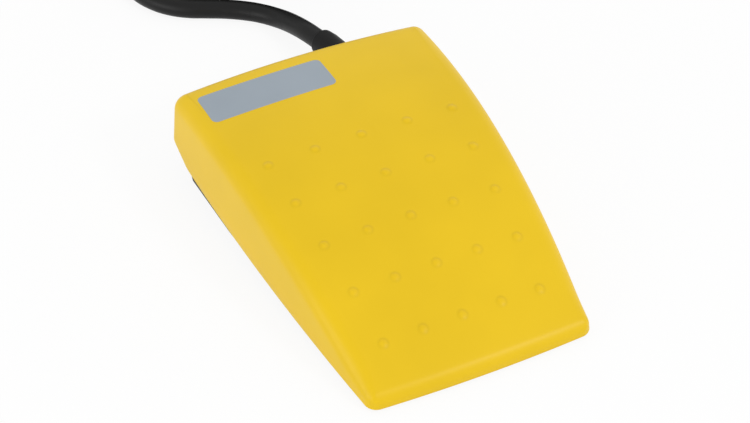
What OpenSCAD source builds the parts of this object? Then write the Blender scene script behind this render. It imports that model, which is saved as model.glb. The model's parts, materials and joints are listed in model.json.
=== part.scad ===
// Foot switch with one moulded pedal over a base tray, a changeover microswitch
// and a round lead. The floor is z = 0 and the lead leaves at the rear, +Y.
// The pedal is drawn pressed flat, then swung up to its rest pose about the hinge.

/* [Pedal cover] */
// Length of the pedal over its bowed ends
pedal_length = 138.8; // [132:0.2:146]
// Width across the skirt at the high rear end
rear_width = 93.8; // [90:0.2:100]
// Width across the skirt at the low front end
front_width = 75.4; // [72:0.2:80]
// How far each side bows out at its middle
side_bow = 2.2; // [1:0.1:3]
// How far each end bows out at its middle
end_bow = 1; // [0.5:0.1:2]
// Height of the top above the skirt at the rear end
rear_height = 23.9; // [23:0.1:27]
// Height of the top above the skirt at the front end
front_height = 4.8; // [4.4:0.1:6]
// How far the top arches above the straight line between its ends
top_bow = 11.2; // [10.8:0.1:13]
// Radius of the crown across the top
crown_radius = 610; // [500:10:900]
// Rounding of the top edge
edge_round = 5.2; // [4:0.1:6]
// Rounding of the upright corners
corner_round = 4.2; // [3:0.1:6]
// Draft angle of the walls in degrees
wall_draft = 2.7; // [1:0.1:3.5]
// Thickness of the side walls
pedal_wall = 2; // [1.8:0.1:2.6]
// Thickness of the top
top_wall = 2.7; // [2.2:0.1:2.9]
// Height of the skirt above the floor with the pedal pressed
skirt_gap = 2; // [1.8:0.1:3]
// How far the skirt rises at the rear end
skirt_lift = 5.4; // [3:0.1:6]
// Length of the rising stretch of the skirt
skirt_lift_run = 15.6; // [12:0.2:18]

/* [Grip bumps] */
// Rows of bumps from front to rear
bump_rows = 5; // [1:1:5]
// Bumps in a row
bump_columns = 5; // [1:1:5]
// Distance between rows
bump_row_pitch = 17.8; // [15:0.1:18]
// Distance between bumps in the middle row
bump_column_pitch = 14.8; // [12:0.1:15]
// Distance of the middle row from the front end
bump_setback = 51.5; // [50:0.5:56]
// Diameter of a bump
bump_width = 3; // [2:0.1:4]
// Height of a bump
bump_height = 0.5; // [0.3:0.1:0.8]

/* [Label] */
// Length of the label across the pedal
label_length = 43.9; // [30:0.1:46]
// Width of the label along the pedal
label_width = 15.6; // [10:0.1:18]
// Distance of the label's middle from the centre line
label_offset = 18; // [14:0.5:20]
// Distance of the label from the rear end
label_setback = 9.9; // [9.5:0.1:16]
// Rounding of the label's corners
label_round = 2; // [1:0.1:4]
// Thickness of the label
label_thick = 0.3; // [0.2:0.1:0.5]

/* [Hinge and travel] */
// Swing of the pedal from rest to pressed in degrees
pedal_swing = 3; // [2:0.1:3]
// Distance of the hinge from the front end
hinge_setback = 21.4; // [20:0.2:26]
// Height of the hinge axis above the floor
hinge_height = 7.5; // [7.3:0.1:8]
// Diameter of the hinge pin
pin_width = 3; // [2.5:0.1:3.4]
// Length of the hinge pin
pin_length = 60; // [58:0.5:64]
// Wall of plastic round the pin
lug_wall = 2; // [1.6:0.1:2]
// Distance of a pedal lug's middle from the centre line
lug_offset = 22.5; // [20:0.5:23]
// Thickness of a pedal lug
lug_thick = 5; // [4:0.1:6]
// Thickness of a tray ear
ear_thick = 4; // [3:0.1:5]

/* [Base tray] */
// Height of the feet under the tray
foot_stand = 0.8; // [0.6:0.1:1.2]
// Diameter of a foot
foot_width = 12; // [10:0.5:14]
// Thickness of the tray's floor
tray_floor = 2; // [1.8:0.1:2]
// Thickness of the tray's side wall
tray_wall = 2; // [1.6:0.1:2.4]
// Gap between the tray and the inside of the skirt
tray_gap = 0.5; // [0.4:0.1:1.6]
// Distance of the tray from the pedal's front end
tray_front_setback = 7.4; // [6.5:0.1:9]
// Distance of the tray from the pedal's rear end
tray_rear_setback = 10; // [9.6:0.1:11]
// Rounding of the tray's corners
tray_round = 4.2; // [3.2:0.1:9]
// Height of the tray's wall above the floor at the rear
wall_top_rear = 12; // [11.6:0.1:14]
// Height of the tray's wall above the floor at the front
wall_top_front = 5; // [4.5:0.1:6]
// Distance of the tray's low rim from the outside of the skirt
rim_setback = 2.2; // [2:0.1:3]
// Thickness of the rim
rim_thick = 1; // [0.8:0.1:1]

/* [Return springs] */
// Outer diameter of a spring
spring_width = 9; // [8:0.1:9.4]
// Diameter of the spring wire
wire_width = 1; // [0.8:0.1:1.1]
// Coils of a spring
spring_turns = 6; // [5:1:7]
// Length of a spring with the pedal pressed
spring_pressed = 13; // [12:0.1:14]
// Distance of a spring from the centre line
spring_offset = 30; // [29:0.5:31]
// Distance of the springs from the pedal's rear end
spring_reach = 45.4; // [44:0.2:46]

/* [Microswitch] */
// Length of the switch case
switch_length = 27.8; // [27.4:0.1:28.4]
// Height of the switch case
switch_height = 15.9; // [15.5:0.1:16.2]
// Width of the switch case
switch_width = 10.3; // [9.8:0.1:10.8]
// Distance between the mounting holes along the case
hole_pitch_long = 22.2; // [21.8:0.1:22.6]
// Distance between the mounting holes up the case
hole_pitch_high = 10.3; // [9.9:0.1:10.6]
// Distance of the case's front from the pedal's rear end
switch_reach = 69.4; // [67:0.2:70]
// Width of a terminal tab
tab_width = 4.8; // [4.4:0.1:5]
// Thickness of a terminal tab
tab_thick = 0.5; // [0.5:0.1:0.8]

/* [Lead] */
// Diameter of the lead's sheath
lead_width = 7.2; // [6.6:0.1:7.4]
// Diameter of an insulated core
core_width = 2.4; // [2:0.1:2.6]
// Diameter across the middle turn of the coil
coil_width = 80; // [76:1:86]
// Turns of the coil in its four layers
coil_turns = 7.5; // [6.5:1:8.5]
// Gap between neighbouring turns
coil_gap = 0.6; // [0.5:0.1:1]

/* [Hidden] */
$fn = 48;

// Cut overrun, running fit and small clearances
overrun = 0.5;
running_fit = 0.05;
seat_gap = 0.02;
loose_gap = 0.3;
fine_gap = 0.1;

// Pedal frame
rear_y = pedal_length / 2;
front_y = -pedal_length / 2;
lift_y = rear_y - skirt_lift_run;
draft_rate = tan(wall_draft);
corner_least = 0.4;
label_sunk_share = 0.7;
side_steps = 13;
lift_steps = 2;
corner_steps = 4;
end_steps = 6;
hinge_y = front_y + hinge_setback;
lug_radius = pin_width / 2 + lug_wall;

function share(y) = (y - front_y) / pedal_length;
function half_width(y) = (front_width + (rear_width - front_width) * share(y)) / 2
    + 4 * side_bow * share(y) * (1 - share(y));
function top_z(x, y) = skirt_gap + front_height + (rear_height - front_height) * share(y)
    + 4 * top_bow * share(y) * (1 - share(y)) - x * x / (2 * crown_radius);
function ceiling_z(x, y) = top_z(x, y) - top_wall;
function skirt_z(y) = skirt_gap + skirt_lift * max(0, (y - lift_y) / skirt_lift_run);

// Outline seen from above, anticlockwise, whose half width follows the pedal's
// with inset(y) taken off. Both ends bow out between rounded corners.
function corner(y, rear, rnd, inset) = [for (i = [0 : corner_steps])
    let (a = (rear ? 0 : -90) + 90 * i / corner_steps)
    [half_width(y) - inset(y) - rnd + rnd * cos(a), y + rnd * sin(a)]];
function steps(a, b, n) = [for (i = [1 : n]) a + (b - a) * i / n];
function right_side(front, rear, knee, rnd, inset) = concat(
    corner(front + rnd, false, rnd, inset),
    [for (y = steps(front + rnd, knee, side_steps)) [half_width(y) - inset(y), y]],
    [for (i = [1 : lift_steps - 1]) let (y = knee + (rear - rnd - knee) * i / lift_steps)
        [half_width(y) - inset(y), y]],
    corner(rear - rnd, true, rnd, inset));
function end_edge(right, bow) = [for (i = [1 : end_steps - 1])
    let (s = 1 - 2 * i / end_steps) [right.x * s, right.y + bow * (1 - s * s)]];
function outline(side, bow) = let (n = len(side)) concat(side,
    end_edge(side[n - 1], bow),
    [for (i = [n - 1 : -1 : 0]) [-side[i].x, side[i].y]],
    end_edge([-side[0].x, side[0].y], -bow));

// One ring of the pedal form at angle a of the top edge's rounding
function form_ring(extra, drop, rnd, a) =
    let (inset = function(y) extra + rnd * (1 - cos(a))
            + draft_rate * (top_z(0, y) - skirt_gap - rnd * (1 - sin(a))),
        corner_now = max(corner_round - extra - rnd * (1 - cos(a)), corner_least),
        plan = outline(right_side(front_y + end_bow + inset(front_y),
            rear_y - end_bow - inset(rear_y), lift_y, corner_now, inset), end_bow))
    [for (p = plan) [p.x, p.y, top_z(p.x, p.y) - drop - rnd * (1 - sin(a))]];
function skirt_ring(extra, low) =
    let (inset = function(y) extra + draft_rate * (skirt_z(y) - skirt_gap),
        plan = outline(right_side(front_y + end_bow + inset(front_y),
            rear_y - end_bow - inset(rear_y), lift_y,
            max(corner_round - extra, corner_least), inset), end_bow))
    [for (p = plan) [p.x, p.y, skirt_z(p.y) - low]];
function shrunk(ring, s, drop) = [for (p = ring) [p.x * s, p.y * s, top_z(p.x * s, p.y * s) - drop]];

// Closed solid through a stack of rings, with a middle point below and above
module loft(rings, low_point, high_point) {
    n = len(rings[0]);
    last = len(rings) - 1;
    points = concat([for (ring = rings) each ring], [low_point, high_point]);
    low = len(points) - 2;
    high = low + 1;
    sides = [for (k = [0 : last - 1], i = [0 : n - 1])
        let (a = k * n + i, b = k * n + (i + 1) % n)
        each [[a, a + n, b + n], [a, b + n, b]]];
    caps = [for (i = [0 : n - 1]) let (j = (i + 1) % n)
        each [[i, j, low], [last * n + i, high, last * n + j]]];
    polyhedron(points, concat(sides, caps));
}

// Body of the pedal: extra goes off its sides, drop off its top, low is added below
module pedal_form(extra, drop, rnd, low, angles, rounds) {
    top = form_ring(extra, drop, rnd, 90);
    loft(concat([skirt_ring(extra, low)],
            [for (a = angles) form_ring(extra, drop, rnd, a)],
            [for (s = rounds) shrunk(top, s, drop)]),
        [0, 0, skirt_gap - low], [0, 0, top_z(0, 0) - drop]);
}

// Swings what is drawn pressed up to the rest pose
module at_rest() {
    translate([0, hinge_y, hinge_height])
        rotate([pedal_swing, 0, 0])
        translate([0, -hinge_y, -hinge_height])
        children();
}

// Bar along X with its middle at the origin, and one along Y from the origin
module bar_x(r, length) {
    rotate([0, 90, 0])
        cylinder(r = r, h = length, center = true);
}

module bar_y(r, length) {
    rotate([-90, 0, 0])
        cylinder(r = r, h = length);
}

// Plate of the given thickness in X whose outline is drawn in Y and Z
module side_plate(x, thick) {
    translate([x - thick / 2, 0, 0])
        rotate([90, 0, 90])
        linear_extrude(thick)
        children();
}

// Tubes swept along routes, with one radius to a point
function unit(v) = v / norm(v);
function heading(route, i) = let (n = len(route) - 1)
    unit(route[min(i + 1, n)] - route[max(i - 1, 0)]);
function hoop(p, t, r, sides) = let (s = unit(cross(t, [0, 0, 1])), u = cross(t, s))
    [for (k = [0 : sides - 1]) p + r * (cos(360 * k / sides) * s + sin(360 * k / sides) * u)];
module tube_part(route, from, to, r, sides) {
    loft([for (i = [from : to]) hoop(route[i], heading(route, i), r, sides)],
        route[from], route[to]);
}

module tube(route, r, sides) {
    tube_part(route, 0, len(route) - 1, r, sides);
}

// Curve through a route's points, in steps between each two
function on_curve(a, b, c, d, t) = 0.5 * (2 * b + (c - a) * t
    + (2 * a - 5 * b + 4 * c - d) * t * t + (3 * b - a - 3 * c + d) * t * t * t);
function curve(route, n) = let (last = len(route) - 1) concat(
    [for (i = [0 : last - 1], k = [0 : n - 1])
        on_curve(route[max(i - 1, 0)], route[i], route[i + 1], route[min(i + 2, last)], k / n)],
    [route[last]]);

// Hinge, switch and actuator places, with the pedal pressed
tray_top = foot_stand + tray_floor;
switch_y = rear_y - switch_reach;
switch_end = switch_y + switch_length;
case_stand = 2;
switch_z = tray_top + case_stand;
switch_top = switch_z + switch_height;
case_wall = 1.5;
knuckle_radius = 1.2;
pivot_radius = 0.6;
pivot_setback = 2.6;
pivot_y = switch_y + pivot_setback;
pivot_z = switch_top + loose_gap + knuckle_radius;
lever_thick = 0.5;
lever_width = 4.2;
lever_low = pivot_z - knuckle_radius;
presser_setback = 27.4;
presser_y = pivot_y + presser_setback;
presser_radius = 1.5;
presser_width = 6;
lever_tip = 2;
lever_swing = asin((presser_y - hinge_y) * sin(pedal_swing) / (presser_y - pivot_y));
plunger_setback = 8.5;
plunger_y = pivot_y + plunger_setback;
plunger_radius = 1.6;
plunger_travel = plunger_setback * tan(lever_swing);
hole_inset = 2.8;
screw_radius = 1.5;
high_hole = [switch_y + hole_inset, switch_z + hole_inset + hole_pitch_high];
low_hole = [switch_y + hole_inset + hole_pitch_long, switch_z + hole_inset];
bracket_x = switch_width / 2;
bracket_thick = 3.5;
boss_long = 6;

// Contacts inside the switch
cover_thick = 1.5;
tab_reach = 7.8;
contact_radius = 1.4;
contact_high = 0.7;
blade_thick = 0.3;
blade_width = 4;
blade_eye = 0.4;
contact_inset = 5.6;
contact_y = switch_end - contact_inset;
common_z = switch_z + case_wall + fine_gap;
open_z = low_hole.y + hole_inset;
contact_gap = 1.2;
blade_z = open_z + tab_thick + contact_high * 2 + contact_gap + fine_gap;
closed_z = blade_z + blade_thick + contact_high * 2 + fine_gap;
post_setback = 4;
post_y = switch_y + post_setback;
blade_swing = atan(contact_gap / (contact_y - post_y));
plunger_tip = 0.8;
plunger_collar = 0.8;
ear = 0.9;
plunger_foot = blade_z + blade_thick - (plunger_y - post_y) * tan(blade_swing)
    + plunger_travel + fine_gap;

// Springs
spring_y = rear_y - spring_reach;
spring_seat = tray_top;
spring_rest = spring_pressed + (spring_y - hinge_y) * sin(pedal_swing) - loose_gap;
cup_wall = 2;
cup_depth = 4;
spigot_length = 4;
spigot_gap = 0.9;

// Hooks that hold the pedal down at rest, set back from its rear end
hook_reach = 27.4;
hook_y = rear_y - hook_reach;
hook_long = 10;
hook_thick = 2;
hook_low = tray_top + loose_gap;
hook_travel = (hook_y - hinge_y + hook_long / 2) * sin(pedal_swing);
window_top = hook_low + hook_thick + hook_travel + loose_gap;

// Feet
foot_sunk = 0.8;
foot_inset = 12;
foot_edge = 0.6;
foot_hollow = 0.4;

// Receptacles pushed on the tabs, with a barrel for the core at one side
sleeve_side = 0.8;
sleeve_wall = 0.8;
sleeve_long = 6.4;
barrel_wall = 0.5;
barrel_long = 5;
tab_clear = 1;
core_in = 6.6;
core_free = 9;
function into_barrel(y, z) = [for (x = [core_free, core_in]) [x, y + sleeve_long / 2, z + tab_thick / 2]];

// Lead: where its axis crosses the pedal's rear end, and the routes of its stretches
exit_inset = 22.4;
exit_x = rear_width / 2 - exit_inset;
exit_z = 9.5;
way_out = [exit_x, rear_y, exit_z];
lead_radius = lead_width / 2;
clamp_setback = 28.9;
clamp_y = rear_y - clamp_setback;
clamp_long = 6;
clamp_reach = 12;
clamp_thick = lead_radius + tray_wall;
clamp_screw = 8.6;
post_radius = 3.2;
post_top = exit_z + loose_gap;

// These points are chosen by hand, in millimetres, from the way out or the switch
function from_exit(points) = [for (p = points) way_out + p];
function from_switch(points, y, z) = [for (p = points) [p.x, y + p.y, z + p.z]];
inner_route = from_exit([[0, -31.4, 0], [0, -25.4, 0], [0, -19.4, 0], [0, -13.4, 0],
    [0, -7.4, 0], [0, -1.4, 0], [0, 4.6, 0], [-0.1, 10.6, 0], [-0.5, 16.6, -0.1],
    [-1.3, 22.6, -0.4], [-2.7, 29.1, -0.9]]);
lead_route = from_exit([[-2.7, 29.1, -0.9], [-4.1, 35.6, -1.4], [-5.3, 42.6, -2.8],
    [-6.6, 48.6, -4.2], [-8.7, 54.1, -5.3], [-12, 59.1, -5.8], [-16.5, 63.4, -5.9],
    [-22.5, 67.6, -5.9], [-29, 71.2, -5.9], [-34.5, 74.2, -5.9], [-40, 78.8, -5.9],
    [-44.3, 85, -5.9], [-47.1, 92.6, -5.9], [-47.9, 101.1, -5.9], [-46.5, 110.1, -5.9],
    [-43.5, 118.1, -5.9], [-39.5, 126.1, -5.9], [-35.5, 134.1, -5.9], [-30.1, 144.9, -5.9]]);
blue_route = concat(from_exit([[-1.3, -31.7, -0.7], [-1.3, -33.9, -0.7]]),
    from_switch([[20.8, 29, 0.5], [17.2, 21, -0.3], [15.6, 11, -0.1], [14.6, 1, 0.3],
        [12, -3.6, 0.3]], switch_y, common_z),
    into_barrel(switch_y - tab_reach, common_z));
black_route = concat(from_exit([[1.3, -31.7, -0.7], [1.3, -33.8, -0.5]]),
    from_switch([[23.9, 5, 0.2], [19.4, 4.1, 0.4], [14, 4.1, 0.4]], switch_end, open_z),
    into_barrel(switch_end + tab_clear, open_z));
brown_route = concat(from_exit([[0, -31.7, 1.6], [0, -33.8, 2]]),
    from_switch([[22.8, 5.2, -1.8], [18.4, 4.2, -0.4], [13, 4.2, 0.2]], switch_end, closed_z),
    into_barrel(switch_end + tab_clear, closed_z));

// Strain relief: outer radius along its route, as shares of the lead's radius
relief_setback = 8.4;
relief_from = rear_y - tray_rear_setback - relief_setback;
relief_sides = 18;
relief_bore = lead_radius + fine_gap;
flange_share = 1.62;
neck_share = 1.36;
collar_share = 1.62;
tip_share = 1.32;
groove_share = 0.22;
neck_long = 4.6;
flange_long = 2.5;
collar_long = 7;
groove_pitch = 3.6;
groove_count = 5;
block_gap = 0.2;

// Coil: from the end of the free stretch, up through four layers
coil_layers = 4;
coil_rings = 24;
coil_start = lead_route[len(lead_route) - 1];
coil_heading = unit(coil_start - lead_route[len(lead_route) - 2]);
coil_pitch = lead_width + coil_gap;
layer_turns = coil_turns / coil_layers;
coil_outer = coil_width / 2 + coil_pitch * layer_turns / 2;
coil_centre = coil_start + coil_outer * [coil_heading.y, -coil_heading.x, 0];
coil_phase = atan2(coil_start.y - coil_centre.y, coil_start.x - coil_centre.x);
function layer_at(t) = min(floor(t / layer_turns), coil_layers - 1);
function spiral_radius(t) = let (k = layer_at(t), s = t / layer_turns - k)
    coil_outer - coil_pitch * layer_turns * (k % 2 == 0 ? s : 1 - s);
function climb(u) = let (c = min(max(u, 0), 1)) c * c * (3 - 2 * c);
function spiral_layer(t) = climb((t - layer_turns) * 2 + 0.5) + climb((t - 2 * layer_turns) * 2 + 0.5)
    + climb((t - 3 * layer_turns) * 2 + 0.5);
function spiral_point(t) = let (a = coil_phase - 360 * t)
    coil_centre + [spiral_radius(t) * cos(a), spiral_radius(t) * sin(a), coil_pitch * spiral_layer(t)];
wound_points = [for (i = [0 : coil_rings * coil_turns]) spiral_point(i / coil_rings)];
wound_end = wound_points[len(wound_points) - 1];
coil_out = unit(wound_end - wound_points[len(wound_points) - 2]);
coil_end = wound_end + coil_out * lead_width;
coil_points = concat(wound_points, [coil_end]);
coil_least = min([for (i = [0 : len(coil_points) - 1], j = [i + coil_rings / 2 : len(coil_points) - 1])
    norm(coil_points[i] - coil_points[j])]) - lead_width;
echo(least_gap_between_coil_turns = coil_least);
whole_route = concat(inner_route, [for (i = [1 : len(lead_route) - 1]) lead_route[i]],
    [for (i = [1 : len(coil_points) - 1]) coil_points[i]]);
lead_from = len(inner_route) - 1;
coil_from = lead_from + len(lead_route) - 1;

// Bare end: three cores that leave the sheath in a bundle and fan out. Their places
// at both ends are shares of a core's width, sideways and up.
tail_long = 22;
tip_long = 6;
tip_radius = 0.8;
tail_bundle_shares = [[-0.56, -0.32], [0, 0.64], [0.56, -0.32]];
tail_fan_shares = [[-1.4, -0.9], [0, -0.8], [1.4, -0.9]];
tail_side = [-coil_out.y, coil_out.x, 0];

module bump(x, y) {
    sphere_radius = (bump_width * bump_width / 4 + bump_height * bump_height) / (2 * bump_height);
    root = bump_height;
    slope = atan2(top_z(x, y + bump_width / 2) - top_z(x, y - bump_width / 2), bump_width);
    lean = atan2(x, crown_radius);
    translate([x, y, top_z(x, y)])
        rotate([slope, lean, 0])
        intersection() {
            translate([0, 0, bump_height - sphere_radius])
                sphere(sphere_radius);
            translate([0, 0, -root])
                cylinder(d = bump_width + root, h = bump_height + 2 * root);
        }
}

module bumps() {
    middle_y = front_y + bump_setback;
    fan_share = 0.383;
    for (row = [0 : bump_rows - 1], column = [0 : bump_columns - 1]) {
        y = middle_y + (row - (bump_rows - 1) / 2) * bump_row_pitch;
        pitch = bump_column_pitch * (1 + fan_share * (y - middle_y) / pedal_length);
        bump((column - (bump_columns - 1) / 2) * pitch, y);
    }
}

// Ribs, lugs, bosses and hooks under the pedal. They are drawn past the ceiling,
// and the cavity's own outline trims them.
module pedal_inside() {
    rib_thick = 1.6;
    rib_deep = 2.6;
    rib_steps = 12;
    high = skirt_gap + rear_height + top_bow;
    rib_from = hinge_y - lug_radius;
    rib_offset = 13.5;
    rib_y = [for (i = [0 : rib_steps]) rib_from + (rear_y - rib_from) * i / rib_steps];
    for (x = [-rib_offset, rib_offset])
        side_plate(x, rib_thick)
        polygon(concat([for (y = rib_y) [y, ceiling_z(x, y) - rib_deep]],
            [[rear_y, high], [rib_from, high]]));
    for (y_share = [0.3, 0.47, 0.81])
        translate([-rear_width / 2, front_y + pedal_length * y_share, 0])
        translate([0, 0, ceiling_z(0, front_y + pedal_length * y_share) - rib_deep])
        cube([rear_width, rib_thick, high]);
    for (side = [-1, 1])
        side_plate(side * lug_offset, lug_thick) {
            translate([hinge_y, hinge_height])
                circle(lug_radius);
            translate([hinge_y - lug_radius, hinge_height])
                square([2 * lug_radius, high]);
        }
    for (side = [-1, 1])
        translate([side * spring_offset, spring_y, spring_seat + spring_pressed]) {
            cylinder(d = spring_width + 2 * cup_wall, h = high);
            translate([0, 0, -spigot_length])
                cylinder(d = spring_width - 2 * wire_width - 2 * spigot_gap, h = high);
        }
    translate([-presser_width / 2, presser_y - presser_radius, presser_z()])
        cube([presser_width, 2 * presser_radius, high]);
    translate([0, presser_y, presser_z()])
        bar_x(presser_radius, presser_width);
    for (side = [-1, 1])
        pedal_hook(side, high);
}

function presser_z() = lever_low + lever_thick + presser_radius + fine_gap;

// A leg inside the tray's wall whose toe reaches out through the wall's window
module pedal_hook(side, high) {
    leg_x = tray_inner_x(hook_y - hook_long / 2) - loose_gap - hook_thick;
    toe_x = leg_x + hook_thick + loose_gap + tray_wall;
    translate([side * leg_x - (side < 0 ? hook_thick : 0), hook_y - hook_long / 2, hook_low])
        cube([hook_thick, hook_long, high]);
    translate([side < 0 ? -toe_x : leg_x, hook_y - hook_long / 2, hook_low])
        cube([toe_x - leg_x, hook_long, hook_thick]);
}

function tray_inset() = pedal_wall + tray_gap + draft_rate * wall_top_rear;
function tray_inner_x(y) = half_width(y) - tray_inset() - tray_wall;

// Slot for the lead in the rear wall, open at the skirt
module lead_notch() {
    notch_half = flange_share * lead_radius + 2 * loose_gap;
    notch_long = 3 * pedal_wall + edge_round;
    translate([exit_x, rear_y - notch_long, exit_z + loose_gap])
        bar_y(notch_half, notch_long + overrun);
    translate([exit_x - notch_half, rear_y - notch_long, -overrun])
        cube([2 * notch_half, notch_long + overrun, exit_z + loose_gap + overrun]);
}

module pedal_cover() color("gold") at_rest()
    difference() {
        union() {
            difference() {
                pedal_form(0, 0, edge_round, 0, [0, 22, 45, 67, 90], [0.86, 0.7, 0.54, 0.36, 0.18]);
                difference() {
                    pedal_form(pedal_wall, top_wall, edge_round - pedal_wall,
                        skirt_gap, [0, 45, 90], [0.7, 0.4]);
                    pedal_inside();
                }
            }
            bumps();
        }
        translate([0, hinge_y, hinge_height])
            bar_x(pin_width / 2 + running_fit, 2 * lug_offset + 2 * lug_thick);
        label_form(fine_gap, label_thick * -label_sunk_share - fine_gap / 2, top_wall);
        lead_notch();
    }

// Thin form that follows the top's curve, from low to high above it
module label_form(grow, low, high) {
    middle = [-label_offset, rear_y - label_setback - label_width / 2];
    half = [label_length / 2 - label_round, label_width / 2 - label_round];
    rnd = label_round + grow;
    turn_steps = 4;
    edge_steps = [7, 3];
    edge = [for (q = [0 : 3])
        let (sx = q == 0 || q == 3 ? 1 : -1, sy = q < 2 ? 1 : -1, n = edge_steps[q % 2],
            go = q % 2 == 0 ? [-2 * sx, 0] : [0, -2 * sy])
        each concat([for (i = [0 : turn_steps]) let (a = 90 * q + 90 * i / turn_steps)
                middle + [sx * half.x + rnd * cos(a), sy * half.y + rnd * sin(a)]],
            [for (i = [1 : n - 1]) let (a = 90 * q + 90)
                middle + [sx * half.x + rnd * cos(a), sy * half.y + rnd * sin(a)]
                + [go.x * half.x, go.y * half.y] * i / n])];
    lie = function(s, lift) [for (p = edge) let (q = middle + (p - middle) * s)
        [q.x, q.y, top_z(q.x, q.y) + lift]];
    lie_shares = [0.25, 0.6, 1];
    loft(concat([for (s = lie_shares) lie(s, low)],
            [for (i = [2 : -1 : 0]) lie(lie_shares[i], high)]),
        [middle.x, middle.y, top_z(middle.x, middle.y) + low],
        [middle.x, middle.y, top_z(middle.x, middle.y) + high]);
}

module label_plate() color("silver") at_rest()
    label_form(0, label_thick * -label_sunk_share, label_thick * (1 - label_sunk_share));

// Outline of the tray, moved in from its wall's outside, or out where it is negative
module tray_plan(inset_more) {
    front = front_y + tray_front_setback + inset_more;
    rear = rear_y - tray_rear_setback - inset_more;
    inset = function(y) tray_inset() + inset_more;
    polygon(outline(right_side(front, rear, (front + rear) / 2, tray_round - inset_more, inset), 0));
}

module tray_shell() {
    slope_from = hinge_y + lug_radius;
    difference() {
        translate([0, 0, foot_stand]) {
            linear_extrude(wall_top_rear - foot_stand)
                tray_plan(0);
            linear_extrude(rim_thick)
                tray_plan(rim_setback - tray_inset());
        }
        translate([0, 0, tray_top])
            linear_extrude(wall_top_rear)
            tray_plan(tray_wall);
        side_plate(0, rear_width)
            polygon([[front_y, wall_top_front], [slope_from, wall_top_front], [0, wall_top_rear],
                [0, wall_top_rear + overrun], [front_y, wall_top_rear + overrun]]);
        for (side = [-1, 1])
            translate([side < 0 ? -rear_width : 0, hook_y - hook_long / 2 - loose_gap, tray_top])
            cube([rear_width, hook_long + 2 * loose_gap, window_top - tray_top]);
    }
}

// Ears on both sides of each pedal lug
module tray_ears() {
    ear_offset = lug_thick / 2 + loose_gap + ear_thick / 2;
    for (side = [-1, 1], out = [-1, 1])
        side_plate(side * lug_offset + out * ear_offset, ear_thick) {
            translate([hinge_y, hinge_height])
                circle(lug_radius);
            translate([hinge_y - lug_radius, tray_top - tray_floor / 2])
                square([2 * lug_radius, hinge_height - tray_top + tray_floor / 2]);
        }
}

// Upright wall that the microswitch is screwed to, with a boss behind each hole
module switch_bracket() {
    gusset_long = 6;
    gusset_high = 8;
    gusset_thick = 1.6;
    low = tray_top - tray_floor / 2;
    side_plate(bracket_x + bracket_thick / 2, bracket_thick)
        translate([switch_y, low])
        square([switch_length, switch_top - low - case_wall]);
    for (hole = [high_hole, low_hole])
        translate([bracket_x + boss_long / 2, hole.x, hole.y])
        bar_x(hole_inset, boss_long);
    for (y = [switch_y + gusset_thick, switch_end - gusset_thick])
        translate([bracket_x + bracket_thick, y, low])
        rotate([90, 0, 0])
        linear_extrude(gusset_thick, center = true)
        polygon([[0, 0], [gusset_long, 0], [0, gusset_high]]);
    translate([-bracket_x, plunger_y, low])
        cube([switch_width + overrun, case_stand * 2, switch_z - low]);
}

// Saddle and posts for the cable clamp, and the wall block that holds the strain relief
module lead_seat() {
    low = tray_top - tray_floor / 2;
    block_y = relief_from + flange_long + block_gap;
    block_long = neck_long - 2 * block_gap;
    block_half = flange_share * lead_radius + tray_wall / 2;
    translate([exit_x - clamp_screw, clamp_y, low])
        cube([2 * clamp_screw, clamp_long, exit_z - low]);
    for (side = [-1, 1])
        translate([exit_x + side * clamp_screw, clamp_y + clamp_long / 2, low])
        cylinder(r = post_radius, h = post_top - low);
    translate([exit_x - block_half, block_y, low])
        cube([2 * block_half, block_long, wall_top_rear - low]);
}

module base_tray() color("dimgray")
    difference() {
        union() {
            tray_shell();
            tray_ears();
            switch_bracket();
            lead_seat();
            for (side = [-1, 1])
                translate([side * spring_offset, spring_y, tray_top - tray_floor / 2])
                difference() {
                    cylinder(d = spring_width + 2 * cup_wall + 2 * loose_gap,
                        h = cup_depth + tray_floor / 2);
                    translate([0, 0, tray_floor / 2])
                        cylinder(d = spring_width + 2 * loose_gap, h = cup_depth + overrun);
                }
        }
        for (side = [-1, 1])
            side_plate(side * lug_offset, lug_thick + 2 * loose_gap)
            translate([hinge_y - lug_radius - loose_gap, tray_top - tray_floor / 2])
            square([2 * (lug_radius + loose_gap), hinge_height]);
        translate([0, hinge_y, hinge_height])
            bar_x(pin_width / 2 + seat_gap, pin_length + 2 * overrun);
        for (hole = [high_hole, low_hole])
            translate([bracket_x + boss_long / 2, hole.x, hole.y])
            bar_x(screw_radius + seat_gap, boss_long + 2 * overrun);
        translate([exit_x, clamp_y - overrun, exit_z])
            bar_y(relief_bore, clamp_long + 2 * overrun);
        translate([exit_x, relief_from, exit_z])
            bar_y(neck_share * lead_radius + fine_gap, neck_long * 2);
        translate([exit_x - neck_share * lead_radius - fine_gap, relief_from, exit_z])
            cube([2 * (neck_share * lead_radius + fine_gap), neck_long * 2, wall_top_rear]);
        lead_way();
        for (side = [-1, 1])
            translate([exit_x + side * clamp_screw, clamp_y + clamp_long / 2, tray_top])
            cylinder(r = screw_radius + seat_gap, h = post_top);
        for (place = foot_places)
            translate([place.x, place.y, foot_stand - overrun])
            cylinder(d = foot_width + 2 * fine_gap, h = overrun + foot_sunk);
    }

// Opening in the tray's rear wall outside the block, for the collar
module lead_way() {
    way = collar_share * lead_radius + loose_gap;
    from = relief_from + flange_long + neck_long;
    translate([exit_x - way, from - block_gap, tray_top])
        cube([2 * way, tray_round, wall_top_rear]);
}

foot_places = [for (y = [front_y + tray_front_setback + foot_inset,
        rear_y - tray_rear_setback - foot_inset], side = [-1, 1])
    [side * (half_width(y) - tray_inset() - foot_edge * foot_width), y]];

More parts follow.
